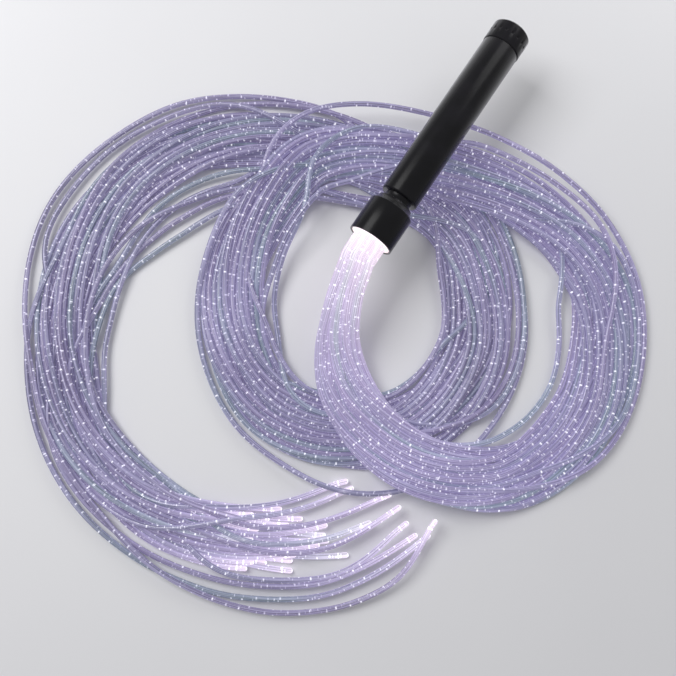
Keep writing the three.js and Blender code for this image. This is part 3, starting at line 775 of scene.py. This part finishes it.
def flute_cutter():
    """A ball-ended cutter standing along +Z."""
    start_clean()
    bpy.ops.mesh.primitive_uv_sphere_add(segments=CUTTER_SIDES, ring_count=CUTTER_SIDES // 2,
                                         radius=FLUTE_RADIUS, location=(0, 0, 0))
    cutter = bpy.context.object
    for side in (1, -1):
        for vertex in cutter.data.vertices:
            vertex.select = vertex.co.z * side > FLUTE_RADIUS / 100
        bpy.ops.object.mode_set(mode="EDIT")
        pull = (FLUTE_LENGTH / 2 - FLUTE_RADIUS) * side
        bpy.ops.transform.translate(value=(0, 0, pull))
        bpy.ops.object.mode_set(mode="OBJECT")
    return cutter


def fluted(cap):
    """Takes the cutter's copies, one for each flute, away from the cap."""
    cutter = flute_cutter()
    reach = cap_radius + FLUTE_RADIUS * (1 - FLUTE_DEPTH_SHARE)
    cutter.location = (reach, 0, (grip_start + cap_end) / 2)
    bpy.ops.object.transform_apply(location=True)
    for _ in range(FLUTES - 1):
        bpy.ops.object.duplicate()
        bpy.ops.transform.rotate(value=math.tau / FLUTES, orient_axis="Z", center_override=(0, 0, 0))
        bpy.ops.object.transform_apply(location=True, rotation=True)
    cutters = [o for o in bpy.context.scene.objects if o.name.startswith(cutter.name)]
    for o in cutters:
        o.select_set(True)
    bpy.ops.object.join()
    cutter = bpy.context.object
    start_clean()
    cap.select_set(True)
    bpy.context.view_layer.objects.active = cap
    cut = cap.modifiers.new("flutes", "BOOLEAN")
    cut.object = cutter
    cut.solver = "EXACT"
    bpy.ops.object.modifier_apply(modifier=cut.name)
    bpy.data.objects.remove(cutter)
    break_edges(cap, EDGE_BREAK)
    return cap


cap = fluted(turned("tail_grip", cap_outline(), True, 0))
onto_handle(cap, "tail_cap_body", "tail_cap", "anodised")

# %% [markdown]
# The button is a rubber boot with a flange that the cap holds, and a low dome for the thumb. It is as
# round as the metal pieces, so it is drawn on the same lathe, with its dome as a quarter of an ellipse.

# %% Tail button
FLANGE = 0.0011
CROWN = 0.001
CROWN_STEPS = 7
CROWN_END_SHARE = 0.04


def button_outline():
    dome_start = button_end - CROWN
    outline = [(button_start, flange_radius), (button_start + FLANGE, flange_radius),
               (button_start + FLANGE, button_radius), (dome_start, button_radius)]
    for step in range(1, CROWN_STEPS + 1):
        angle = step / CROWN_STEPS * math.pi / 2
        radius = max(math.cos(angle), CROWN_END_SHARE) * button_radius
        outline.append((dome_start + math.sin(angle) * CROWN, radius))
    return outline


button = turned("thumb_button", button_outline(), False)
onto_handle(button, "button_body", "tail_button", "seal_rubber")

# %% [markdown]
# Finishes are built from shader nodes, and their sums would take many lines. So one small class wraps a
# number socket, and a sum on it adds the Math node that works it out.

# %% Sums with sockets
class Value:
    """A number socket that can be used in sums."""

    def __init__(self, nodes, socket):
        self.nodes = nodes
        self.socket = socket

    def maths(self, operation, other=None, first=False):
        """The other number comes second in the sum, or first where that is asked for."""
        inputs = {0: self} if other is None else {0: other, 1: self} if first else {0: self, 1: other}
        return self.nodes.node("ShaderNodeMath", {"operation": operation}, inputs)

    def __add__(self, other):
        return self.maths("ADD", other)

    __radd__ = __add__

    def __sub__(self, other):
        return self.maths("SUBTRACT", other)

    def __rsub__(self, other):
        return self.maths("SUBTRACT", other, first=True)

    def __mul__(self, other):
        return self.maths("MULTIPLY", other)

    __rmul__ = __mul__

    def __truediv__(self, other):
        return self.maths("DIVIDE", other)

    def __pow__(self, other):
        return self.maths("POWER", other)


def from_line(x, y):
    """How far a place lies from the line along Z."""
    return (x * x + y * y).maths("SQRT")


print("sums with sockets are ready")

# %% [markdown]
# Every other kind of node comes from one method. It takes the node's type, its settings, which are set
# first because they can change its sockets, and the values or links of its sockets.

# %% Nodes by one method
class Nodes:
    """A node tree whose nodes are added one call at a time."""

    def __init__(self, tree):
        self.tree = tree

    def node(self, kind, settings=None, inputs=None, output=0):
        made = self.tree.nodes.new(kind)
        for key, value in (settings or {}).items():
            if key == "stops":
                self.set_stops(made.color_ramp, value)
            else:
                setattr(made, key, value)
        for key, value in (inputs or {}).items():
            self.join(value, made.inputs[key])
        return Value(self, made.outputs[output])

    def set_stops(self, ramp, stops):
        while len(ramp.elements) < len(stops):
            ramp.elements.new(0.5)
        for element, (place, colour) in zip(ramp.elements, stops):
            element.position = place
            element.color = (*colour, 1)

    def join(self, value, socket):
        if isinstance(value, Value):
            self.tree.links.new(value.socket, socket)
        elif isinstance(value, tuple) and len(value) == 3 and socket.type == "RGBA":
            socket.default_value = (*value, 1)
        else:
            socket.default_value = value


print("nodes by one method are ready")

# %% [markdown]
# A finish is a material with one Principled shader. Its methods are the few nodes that most finishes use:
# places on the object, noise, soft steps between two values, blends of colour and bumps.

# %% A finish
class Finish(Nodes):
    """A material with one Principled shader."""

    def __init__(self, name, **constants):
        self.material = bpy.data.materials.new(name)
        self.material.use_nodes = True
        super().__init__(self.material.node_tree)
        self.shader = self.tree.nodes["Principled BSDF"]
        self.paint(**constants)

    def paint(self, **inputs):
        for key, value in inputs.items():
            self.join(value, self.shader.inputs[key.replace("_", " ")])

    def place(self):
        return self.node("ShaderNodeTexCoord", output="Object")

    def along_handle(self):
        """Object coordinates turned so that Z runs along the handle from its mouth."""
        turn = AXIS_TURN.to_euler()
        return self.node("ShaderNodeMapping", {"vector_type": "TEXTURE"},
                         {"Vector": self.place(), "Location": tuple(MOUTH), "Rotation": tuple(turn)})

    def parts(self, vector):
        return [self.node("ShaderNodeSeparateXYZ", None, {0: vector}, output=axis) for axis in "XYZ"]

    def noise(self, vector, scale, detail=3.0, roughness=0.5):
        inputs = {"Vector": vector, "Scale": scale, "Detail": detail, "Roughness": roughness}
        return self.node("ShaderNodeTexNoise", None, inputs)

    def lines(self, number, scale, detail=4.0):
        """Noise that changes along one number only."""
        inputs = {"W": number, "Scale": scale, "Detail": detail}
        return self.node("ShaderNodeTexNoise", {"noise_dimensions": "1D"}, inputs)

    def between(self, value, low, high, low_out=0.0, high_out=1.0):
        """Eases from one value to another while the input goes from low to high."""
        inputs = {0: value, 1: low, 2: high, 3: low_out, 4: high_out}
        return self.node("ShaderNodeMapRange", {"interpolation_type": "SMOOTHSTEP"}, inputs)

    def blend(self, share, first, second, how="MIX"):
        settings = {"data_type": "RGBA", "blend_type": how}
        return self.node("ShaderNodeMix", settings, {0: share, 6: first, 7: second}, output=2)

    def ramp(self, value, stops):
        return self.node("ShaderNodeValToRGB", {"stops": stops}, {0: value})

    def bump(self, height, strength, distance):
        inputs = {"Height": height, "Strength": strength, "Distance": distance}
        self.paint(Normal=self.node("ShaderNodeBump", None, inputs))


print("finishes can be made")

# %% [markdown]
# The rods are clear plastic that leaks light from its sides. The light is white and strong at the mouth,
# lavender along the way, and bright again at the tips. A rod's own colour drifts between four shades, and
# its glow between two.

# %% Colours of the rods
LAVENDER = (0.105, 0.095, 0.170)
BLUE_GREY = (0.095, 0.110, 0.170)
VIOLET = (0.120, 0.095, 0.185)
GREEN_GREY = (0.090, 0.120, 0.145)
SHADES = [(0.25, GREEN_GREY), (0.36, BLUE_GREY), (0.52, LAVENDER), (0.70, VIOLET)]
# Painted reflections: the pale colour of the streaks that stand for the neighbours' reflections inside a
# clear rod
REFLECTION_STREAK_PALE = (0.32, 0.31, 0.43)
REFLECTION_STREAK_PALE_SHARE = 0.6
EDGE_SHEEN = (0.86, 0.84, 1.0)
SIDE_GLOW = (0.48, 0.42, 0.78)
TEAL_GLOW = (0.40, 0.48, 0.69)
END_GLOW = (1.0, 0.83, 0.90)
DOT_GLOW = (0.95, 0.94, 1.0)
print("shades along a rod:", len(SHADES))

# %% [markdown]
# Small bright dots show where a rod's surface was nicked. The rod's length is cut into cells, and a white
# noise gives each cell a pair of dots on opposite sides, so that one always shows, with a place, a turn
# round the rod and a strength by chance. They are laid on the rolled-out rod, so they follow its bends.

# %% Dots on the rods
LARGE_DOTS = {"spacing": 0.0066, "half": 0.00076, "seed": 91.0, "edge": 0.86, "jitter": 0.35,
              "evenness": 0.45}
FINE_DOTS = {"spacing": 0.0025, "half": 0.00046, "seed": 37.0, "edge": 0.90, "jitter": 0.7,
             "evenness": 0.0}
DOT_EDGE = (-0.12, 0.09)
DOT_CONTRAST = 1.6
OWN_SEED = 31.7


def dots(finish, rolled, own, spacing, half, seed, edge, jitter, evenness):
    """How bright the dots are at each point, with one pair in each length of the spacing."""
    x, y, along = finish.parts(rolled)
    cell = along / spacing + own * seed
    number = cell.maths("FLOOR")
    noise_inputs = {"W": number + own * OWN_SEED + seed}
    chances = finish.node("ShaderNodeTexWhiteNoise", {"noise_dimensions": "1D"}, noise_inputs,
                          output="Color")
    place, side, strength = [finish.node("ShaderNodeSeparateColor", None, {0: chances}, output=k)
                             for k in ("Red", "Green", "Blue")]
    far = (cell - number - (place * jitter + (1 - jitter) / 2)).maths("ABSOLUTE") * spacing
    band = finish.between(far, 0.0, half, 1.0, 0.0)
    turn = side * math.tau
    facing = (x * turn.maths("COSINE") + y * turn.maths("SINE")).maths("ABSOLUTE")
    dot = band * finish.between(facing, *(edge + ease for ease in DOT_EDGE))
    return dot * (strength ** DOT_CONTRAST * (1 - evenness) + evenness)


print("metres between dots:", LARGE_DOTS["spacing"], "and", FINE_DOTS["spacing"])

# %% [markdown]
# A rod's look is a sum of few parts: fine streaks along it, which are painted reflections of its neighbours
# inside the clear rod, the light that fades from the mouth, the light at its tip with a bright ring behind
# it, and the dots. What lies behind a rod shows through it faintly, least at its edges and dots. A sheen
# stands for the bright line along the edges of a clear rod.

# %% Lit rods
BLACK = (0.0, 0.0, 0.0)
# Size and edge of the painted reflection streaks along a rod
REFLECTION_STREAK_STRETCH = (2.2, 2.2, 13.0)
REFLECTION_STREAK_EDGE = (0.41, 0.60)
DRIFT_ALONG = 7
DRIFT_OWN = 53
DRIFT_SHARE = 0.55
TEAL_EDGE = (0.27, 0.37)
MOUTH_FADE = 0.055
LONG_FADE = 0.45
TIP_FADE = 0.034
TIP_EDGE = (0.0001, 0.0009)
TIP_NOTCH = 0.0056
NOTCH_EDGE = (0.0001, 0.0007)
GLOW_STRENGTH = 2.0

# How strongly each part of a rod is lit, where 1 is the whole of its glow. The streak levels are painted
# reflections, not glow
ALL_LIT = 0.034
REFLECTION_STREAK_LIT = 0.105
WAY_LIT = 0.115
TIP_LIT = 0.27
TIP_REFLECTION_STREAK_LIT = 0.24
MOUTH_LIT = 0.17
MOUTH_REFLECTION_STREAK_LIT = 0.14
DOT_LIT = 0.27
LARGE_SHARE = 1.4
FINE_SHARE = 1.1
TIP_MARK_SHARE = 0.75
TIP_TINT_SHARE = 0.7

# How much of what lies behind a rod is kept back: all over, at a dot, and near the mouth
CLEAR_ALPHA = 0.76
DOT_ALPHA = 0.4
MOUTH_ALPHA = 0.3


def lit_rods():
    finish = Finish("lit_clear_rod", Roughness=0.20, Emission_Strength=GLOW_STRENGTH)
    finish.paint(Coat_Weight=0.3, Coat_Roughness=0.08, IOR=1.49)
    finish.paint(Sheen_Weight=0.45, Sheen_Roughness=0.25, Sheen_Tint=EDGE_SHEEN)
    rolled = finish.node("ShaderNodeAttribute", {"attribute_name": "rolled_out"}, output="Vector")
    own = finish.node("ShaderNodeAttribute", {"attribute_name": "own_number"}, output="Fac")
    from_tip = finish.node("ShaderNodeAttribute", {"attribute_name": "from_tip"}, output="Fac")
    along = finish.parts(rolled)[2]
    stretched = finish.node("ShaderNodeMapping", None, {"Vector": rolled, "Scale": REFLECTION_STREAK_STRETCH})
    # Painted reflections: fine lines along the rod, pale in its colour and bright in its glow
    reflection_streaks = finish.between(finish.noise(stretched, scale=1.35, roughness=0.7), *REFLECTION_STREAK_EDGE)
    drift = finish.lines(along * DRIFT_ALONG + own * DRIFT_OWN, scale=1.0, detail=2.0)
    hue = drift * DRIFT_SHARE + own * (1 - DRIFT_SHARE)
    shade = finish.blend(reflection_streaks * REFLECTION_STREAK_PALE_SHARE, finish.ramp(hue, SHADES), REFLECTION_STREAK_PALE)
    large = dots(finish, rolled, own, **LARGE_DOTS)
    fine = dots(finish, rolled, own, **FINE_DOTS)
    near_mouth = (along / -MOUTH_FADE).maths("EXPONENT")
    along_way = (along / -LONG_FADE).maths("EXPONENT")
    near_tip = (from_tip / -TIP_FADE).maths("EXPONENT")
    at_tip = finish.between(from_tip, *TIP_EDGE, 1.0, 0.0)
    notch = finish.between((from_tip - TIP_NOTCH).maths("ABSOLUTE"), *NOTCH_EDGE, 1.0, 0.0)
    bright = large * LARGE_SHARE + fine * FINE_SHARE + (at_tip + notch) * TIP_MARK_SHARE
    # The painted reflection streaks stripe the glow at the tip and at the mouth too
    tip_light = near_tip * (TIP_LIT + reflection_streaks * TIP_REFLECTION_STREAK_LIT)
    mouth_light = near_mouth * (MOUTH_LIT + reflection_streaks * MOUTH_REFLECTION_STREAK_LIT)
    # The streak term here is painted reflection; the rest is the rod's own glow
    body = ALL_LIT + reflection_streaks * REFLECTION_STREAK_LIT + along_way * WAY_LIT + tip_light + mouth_light
    glow = finish.blend(finish.between(hue, *TEAL_EDGE), TEAL_GLOW, SIDE_GLOW)
    glow = finish.blend(near_mouth + near_tip * TIP_TINT_SHARE, glow, END_GLOW)
    glow = finish.blend(bright.maths("MINIMUM", 1.0), glow, DOT_GLOW)
    level = (body + bright * DOT_LIT).maths("MINIMUM", 1.0)
    finish.paint(Base_Color=shade, Emission_Color=finish.blend(level, BLACK, glow))
    rim = finish.node("ShaderNodeLayerWeight", None, {"Blend": 0.35}, output="Facing")
    kept_back = CLEAR_ALPHA + rim * (1 - CLEAR_ALPHA) + bright * DOT_ALPHA + near_mouth * MOUTH_ALPHA
    finish.paint(Alpha=kept_back.maths("MINIMUM", 1.0))
    return finish.material


rod_look = lit_rods()
for rod in rods:
    rod.data.materials.append(rod_look)
print("rod finish nodes:", len(rod_look.node_tree.nodes))

# %% [markdown]
# The handle is black anodised aluminium. The lathe left very fine lines round it, which only show where
# light grazes the metal, and the dye is a trace thinner on some stretches than on others. Its clear seal
# mirrors the pale room softly along the handle's sides and hardly at all from straight above, so the
# coat's weight follows how far the surface turns away.

# %% Anodised handle
ANODISED_BLACK = (0.004, 0.004, 0.005)
ANODISED_WORN = (0.008, 0.0075, 0.010)
SEAL_TURNED = (0.25, 0.80)
SEAL_GLOSS = 0.7
SEAL_INDEX = 1.7
FINE_TURNING = 5200.0


def turning_lines(finish, scale):
    x, y, z = finish.parts(finish.along_handle())
    return finish.lines(z + from_line(x, y), scale, detail=5.0)


def anodised():
    finish = Finish("black_anodised", Specular_IOR_Level=0.11)
    finish.paint(Sheen_Weight=0.40, Sheen_Roughness=0.2, Sheen_Tint=EDGE_SHEEN)
    lines = turning_lines(finish, FINE_TURNING)
    cloudy = finish.noise(finish.place(), scale=60.0, detail=4.0)
    worn = finish.between(cloudy, 0.35, 0.75)
    finish.paint(Base_Color=finish.blend(worn, ANODISED_BLACK, ANODISED_WORN),
                 Roughness=0.20 + lines * 0.06 + cloudy * 0.05)
    finish.bump(lines, strength=0.12, distance=0.00002)
    turned_away = finish.node("ShaderNodeLayerWeight", None, {"Blend": 0.5}, output="Facing")
    finish.paint(Coat_Roughness=0.16, Coat_IOR=SEAL_INDEX)
    finish.paint(Coat_Weight=finish.between(turned_away, *SEAL_TURNED, 0.0, SEAL_GLOSS))
    return finish.material


FINISHES = {"clear_rod": rod_look, "anodised": anodised()}
print("anodised finish nodes:", len(FINISHES["anodised"].node_tree.nodes))

# %% [markdown]
# The plug in the mouth is clear resin lit from behind, almost white, a touch warmer towards the rim where
# the light is weaker. A slow noise keeps the glow from looking painted.

# %% Glowing resin
RESIN = (0.85, 0.82, 0.84)
RESIN_GLOW = (1.0, 0.95, 0.95)
RESIN_RIM_GLOW = (1.0, 0.80, 0.78)


def glowing_resin():
    finish = Finish("glowing_resin", Roughness=0.12, Emission_Strength=GLOW_STRENGTH)
    x, y, _ = finish.parts(finish.along_handle())
    out = from_line(x, y) / plug_radius
    cloudy = finish.noise(finish.place(), scale=900.0)
    warm = finish.blend(finish.between(out, 0.80, 1.0), RESIN_GLOW, RESIN_RIM_GLOW)
    finish.paint(Base_Color=RESIN, Coat_Weight=0.4)
    finish.paint(Emission_Color=finish.blend(0.26 + cloudy * 0.16, BLACK, warm))
    return finish.material


FINISHES["resin"] = glowing_resin()
print("resin finish nodes:", len(FINISHES["resin"].node_tree.nodes))

# %% [markdown]
# The inner pieces only show when the handle is taken apart, but each has its own stuff. Metals have the
# lines of the lathe or the grain of drawn wire, plastics have a fine moulded grain, and rubber is dull.

# %% Metals
STEEL = (0.56, 0.57, 0.60)
BRASS = (0.62, 0.43, 0.17)
ALUMINIUM = (0.76, 0.77, 0.79)
DULLED_SHARE = 0.72
COARSE_TURNING = 3600.0


def turned_metal(name, colour, roughness):
    finish = Finish(name, Metallic=1.0)
    lines = turning_lines(finish, COARSE_TURNING)
    dull = finish.noise(finish.place(), scale=220.0, detail=5.0)
    darker = tuple(part * DULLED_SHARE for part in colour)
    finish.paint(Base_Color=finish.blend(finish.between(dull, 0.4, 0.7), colour, darker),
                 Roughness=roughness + dull * 0.16 + lines * 0.08)
    finish.bump(lines, strength=0.2, distance=0.00003)
    return finish.material


FINISHES["brass"] = turned_metal("turned_brass", BRASS, roughness=0.24)
FINISHES["steel"] = turned_metal("sprung_steel", STEEL, roughness=0.18)
FINISHES["aluminium"] = turned_metal("milled_aluminium", ALUMINIUM, roughness=0.26)
print("with the metals:", len(FINISHES), "finishes")

# %% [markdown]
# Moulded plastics and rubber share one recipe: a base colour with a faint cloud in it, and a grain whose
# size and depth differ from stuff to stuff.

# %% Plastics and rubber
NYLON = (0.78, 0.76, 0.69)
RUBBER = (0.018, 0.018, 0.019)
PHOSPHOR = (0.90, 0.66, 0.10)
BLACK_PLASTIC = (0.030, 0.030, 0.033)
LENS = (0.86, 0.90, 0.94)
LIGHTER_SHARE = 1.18
LIGHTER_BY = 0.004


def moulded(name, colour, roughness, grain, depth, **constants):
    finish = Finish(name, **constants)
    cloud = finish.noise(finish.place(), scale=90.0)
    specks = finish.noise(finish.place(), scale=grain, detail=2.0)
    lighter = tuple(min(part * LIGHTER_SHARE + LIGHTER_BY, 1.0) for part in colour)
    finish.paint(Base_Color=finish.blend(finish.between(cloud, 0.35, 0.7), colour, lighter),
                 Roughness=roughness + specks * 0.14)
    finish.bump(specks, strength=0.3, distance=depth)
    return finish.material


FINISHES["nylon"] = moulded("natural_nylon", NYLON, roughness=0.42, grain=2600.0, depth=0.00002)
FINISHES["seal_rubber"] = moulded("seal_rubber", RUBBER, roughness=0.62, grain=3800.0, depth=0.00004)
FINISHES["phosphor"] = moulded("phosphor", PHOSPHOR, roughness=0.40, grain=5200.0, depth=0.00003)
FINISHES["black_plastic"] = moulded("black_plastic", BLACK_PLASTIC, roughness=0.40, grain=3000.0,
                                    depth=0.00002)
FINISHES["lens_plastic"] = moulded("lens_plastic", LENS, roughness=0.04, grain=400.0, depth=0.000002,
                                   Alpha=0.5)
print("with the plastics:", len(FINISHES), "finishes")

# %% [markdown]
# The boards are green solder mask over copper tracks, which stand a hair proud and show paler through the
# mask. A few bare pads are tinned. The cell has a plain shrink sleeve, drawn tight over its edges,
# with bare nickel on its ends.

# %% Boards and cell
MASK_GREEN = (0.015, 0.10, 0.045)
TRACK_GREEN = (0.03, 0.19, 0.08)
TINNED = (0.62, 0.62, 0.60)
SLEEVE_BLUE = (0.03, 0.16, 0.44)
TRACK_SCALE = 420.0
TRACK_EDGE = (0.08, 0.12)
PAD_EDGE = (0.20, 0.24)
SLEEVE_OPENS = (0.0076, 0.0079)


def board_finish():
    finish = Finish("solder_mask", Roughness=0.32)
    cells = {"Vector": finish.along_handle(), "Scale": TRACK_SCALE}
    tracks = finish.node("ShaderNodeTexVoronoi", {"feature": "DISTANCE_TO_EDGE"}, cells, output="Distance")
    pads = finish.node("ShaderNodeTexVoronoi", {"distance": "CHEBYCHEV"}, cells, output="Distance")
    track = finish.between(tracks, *TRACK_EDGE, 1.0, 0.0)
    pad = finish.between(pads, *PAD_EDGE, 1.0, 0.0)
    mask = finish.blend(track, MASK_GREEN, TRACK_GREEN)
    finish.paint(Base_Color=finish.blend(pad, mask, TINNED), Metallic=pad)
    finish.bump(track + pad, strength=0.4, distance=0.00004)
    return finish.material


def cell_finish():
    finish = Finish("shrink_sleeve", Coat_Roughness=0.1)
    x, y, _ = finish.parts(finish.along_handle())
    end = finish.between(from_line(x, y), *SLEEVE_OPENS, 1.0, 0.0)
    wrinkle = finish.noise(finish.place(), scale=160.0, detail=4.0)
    finish.paint(Base_Color=finish.blend(end, SLEEVE_BLUE, STEEL), Metallic=end,
                 Roughness=0.30 + wrinkle * 0.12)
    finish.bump(wrinkle, strength=0.15, distance=0.0001)
    return finish.material


FINISHES["circuit_board"] = board_finish()
FINISHES["cell_wrap"] = cell_finish()
print("with the boards and the cell:", len(FINISHES), "finishes")

# %% [markdown]
# Every piece takes the finish that its material slot in the record names, whether it is a modelled piece
# or a node that is kept as it was packed.

# %% Give each piece its finish
for part in frame["record"]["subparts"]:
    node = NODES[part["node"]]
    if not node.material_slots:
        node.data.materials.append(None)
    node.material_slots[0].material = FINISHES[part["material_slot"]]
modelled = (collar, plug, barrel, cap, button)
for piece in modelled:
    piece.data.materials.clear()
    piece.data.materials.append(FINISHES[piece["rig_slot"]])

# %% [markdown]
# The table is plain and pale, with a faint unevenness in its paint. It is a little darker than white, so
# that the bright dots and tips of the rods still stand out on it. Far from the wand, where the lamps don't
# reach, it is given the sky's own paleness, but only for rays that show the background, so that it adds no
# light to the wand and no horizon shows.

# %% Floor
SKY = (1.0, 1.0, 1.0)
SKY_LIGHT = 0.42
SKY_SEEN = 0.88
FLOOR_SIZE = 60
FLOOR_FADE = (0.18, 1.0)
FLOOR_LIFT = 0.44
FLOOR_PALE = (0.66, 0.66, 0.68)
FLOOR_SHADE = (0.63, 0.63, 0.655)


def shows_background(nodes):
    """One for rays from the camera, in gloss and through clear stuff, and nought for rays that light."""
    camera, gloss, through = [nodes.node("ShaderNodeLightPath", output=key)
                              for key in ("Is Camera Ray", "Is Glossy Ray", "Is Transmission Ray")]
    return camera.maths("MAXIMUM", gloss).maths("MAXIMUM", through)


def add_floor():
    start_clean()
    bpy.ops.mesh.primitive_plane_add(size=FLOOR_SIZE, location=(0, 0, 0))
    floor = bpy.context.object
    floor.name = "floor"
    finish = Finish("matt_floor", Roughness=0.6)
    cloudy = finish.noise(finish.place(), scale=9.0, detail=5.0)
    finish.paint(Base_Color=finish.blend(cloudy, FLOOR_PALE, FLOOR_SHADE))
    finish.bump(finish.noise(finish.place(), scale=700.0), strength=0.05, distance=0.0002)
    x, y, _ = finish.parts(finish.place())
    lift = finish.between(from_line(x, y), *FLOOR_FADE, 0.0, FLOOR_LIFT)
    finish.paint(Emission_Color=finish.blend(lift * shows_background(finish), BLACK, SKY),
                 Emission_Strength=1.0)
    floor.data.materials.append(finish.material)


add_floor()
print("floor:", FLOOR_SIZE, "m")

# %% [markdown]
# The light is plain and soft: a pale sky all round, a large lamp high on the left that gives soft shadows,
# and a second, weaker one behind that draws a line of light along the handle. What the camera and the
# gloss see of the sky is paler than the light it gives.

# %% Light
KEY = {"place": (-0.5, 0.35, 0.8), "aim": (0, 0, 0), "size": 0.55, "power": 7.0}
RIM = {"place": (0.5, 0.55, 0.45), "aim": (0.06, 0.1, 0.03), "size": 0.4, "power": 1.6}


def lamp(name, place, aim, size, power):
    data = bpy.data.lights.new(name, "AREA")
    data.energy = power
    data.size = size
    holder = bpy.data.objects.new(name, data)
    bpy.context.scene.collection.objects.link(holder)
    holder.location = COIL + Vector(place)
    holder.rotation_mode = "QUATERNION"
    holder.rotation_quaternion = (Vector(aim) - Vector(place)).to_track_quat("-Z", "Y")


def add_sky():
    world = bpy.data.worlds.new("studio")
    bpy.context.scene.world = world
    world.use_nodes = True
    nodes = Nodes(world.node_tree)
    back = world.node_tree.nodes["Background"]
    nodes.join(SKY, back.inputs["Color"])
    level = SKY_LIGHT + shows_background(nodes) * (SKY_SEEN - SKY_LIGHT)
    nodes.join(level, back.inputs["Strength"])


add_sky()
lamp("key", **KEY)
lamp("rim", **RIM)
bpy.context.scene.view_settings.view_transform = "Standard"
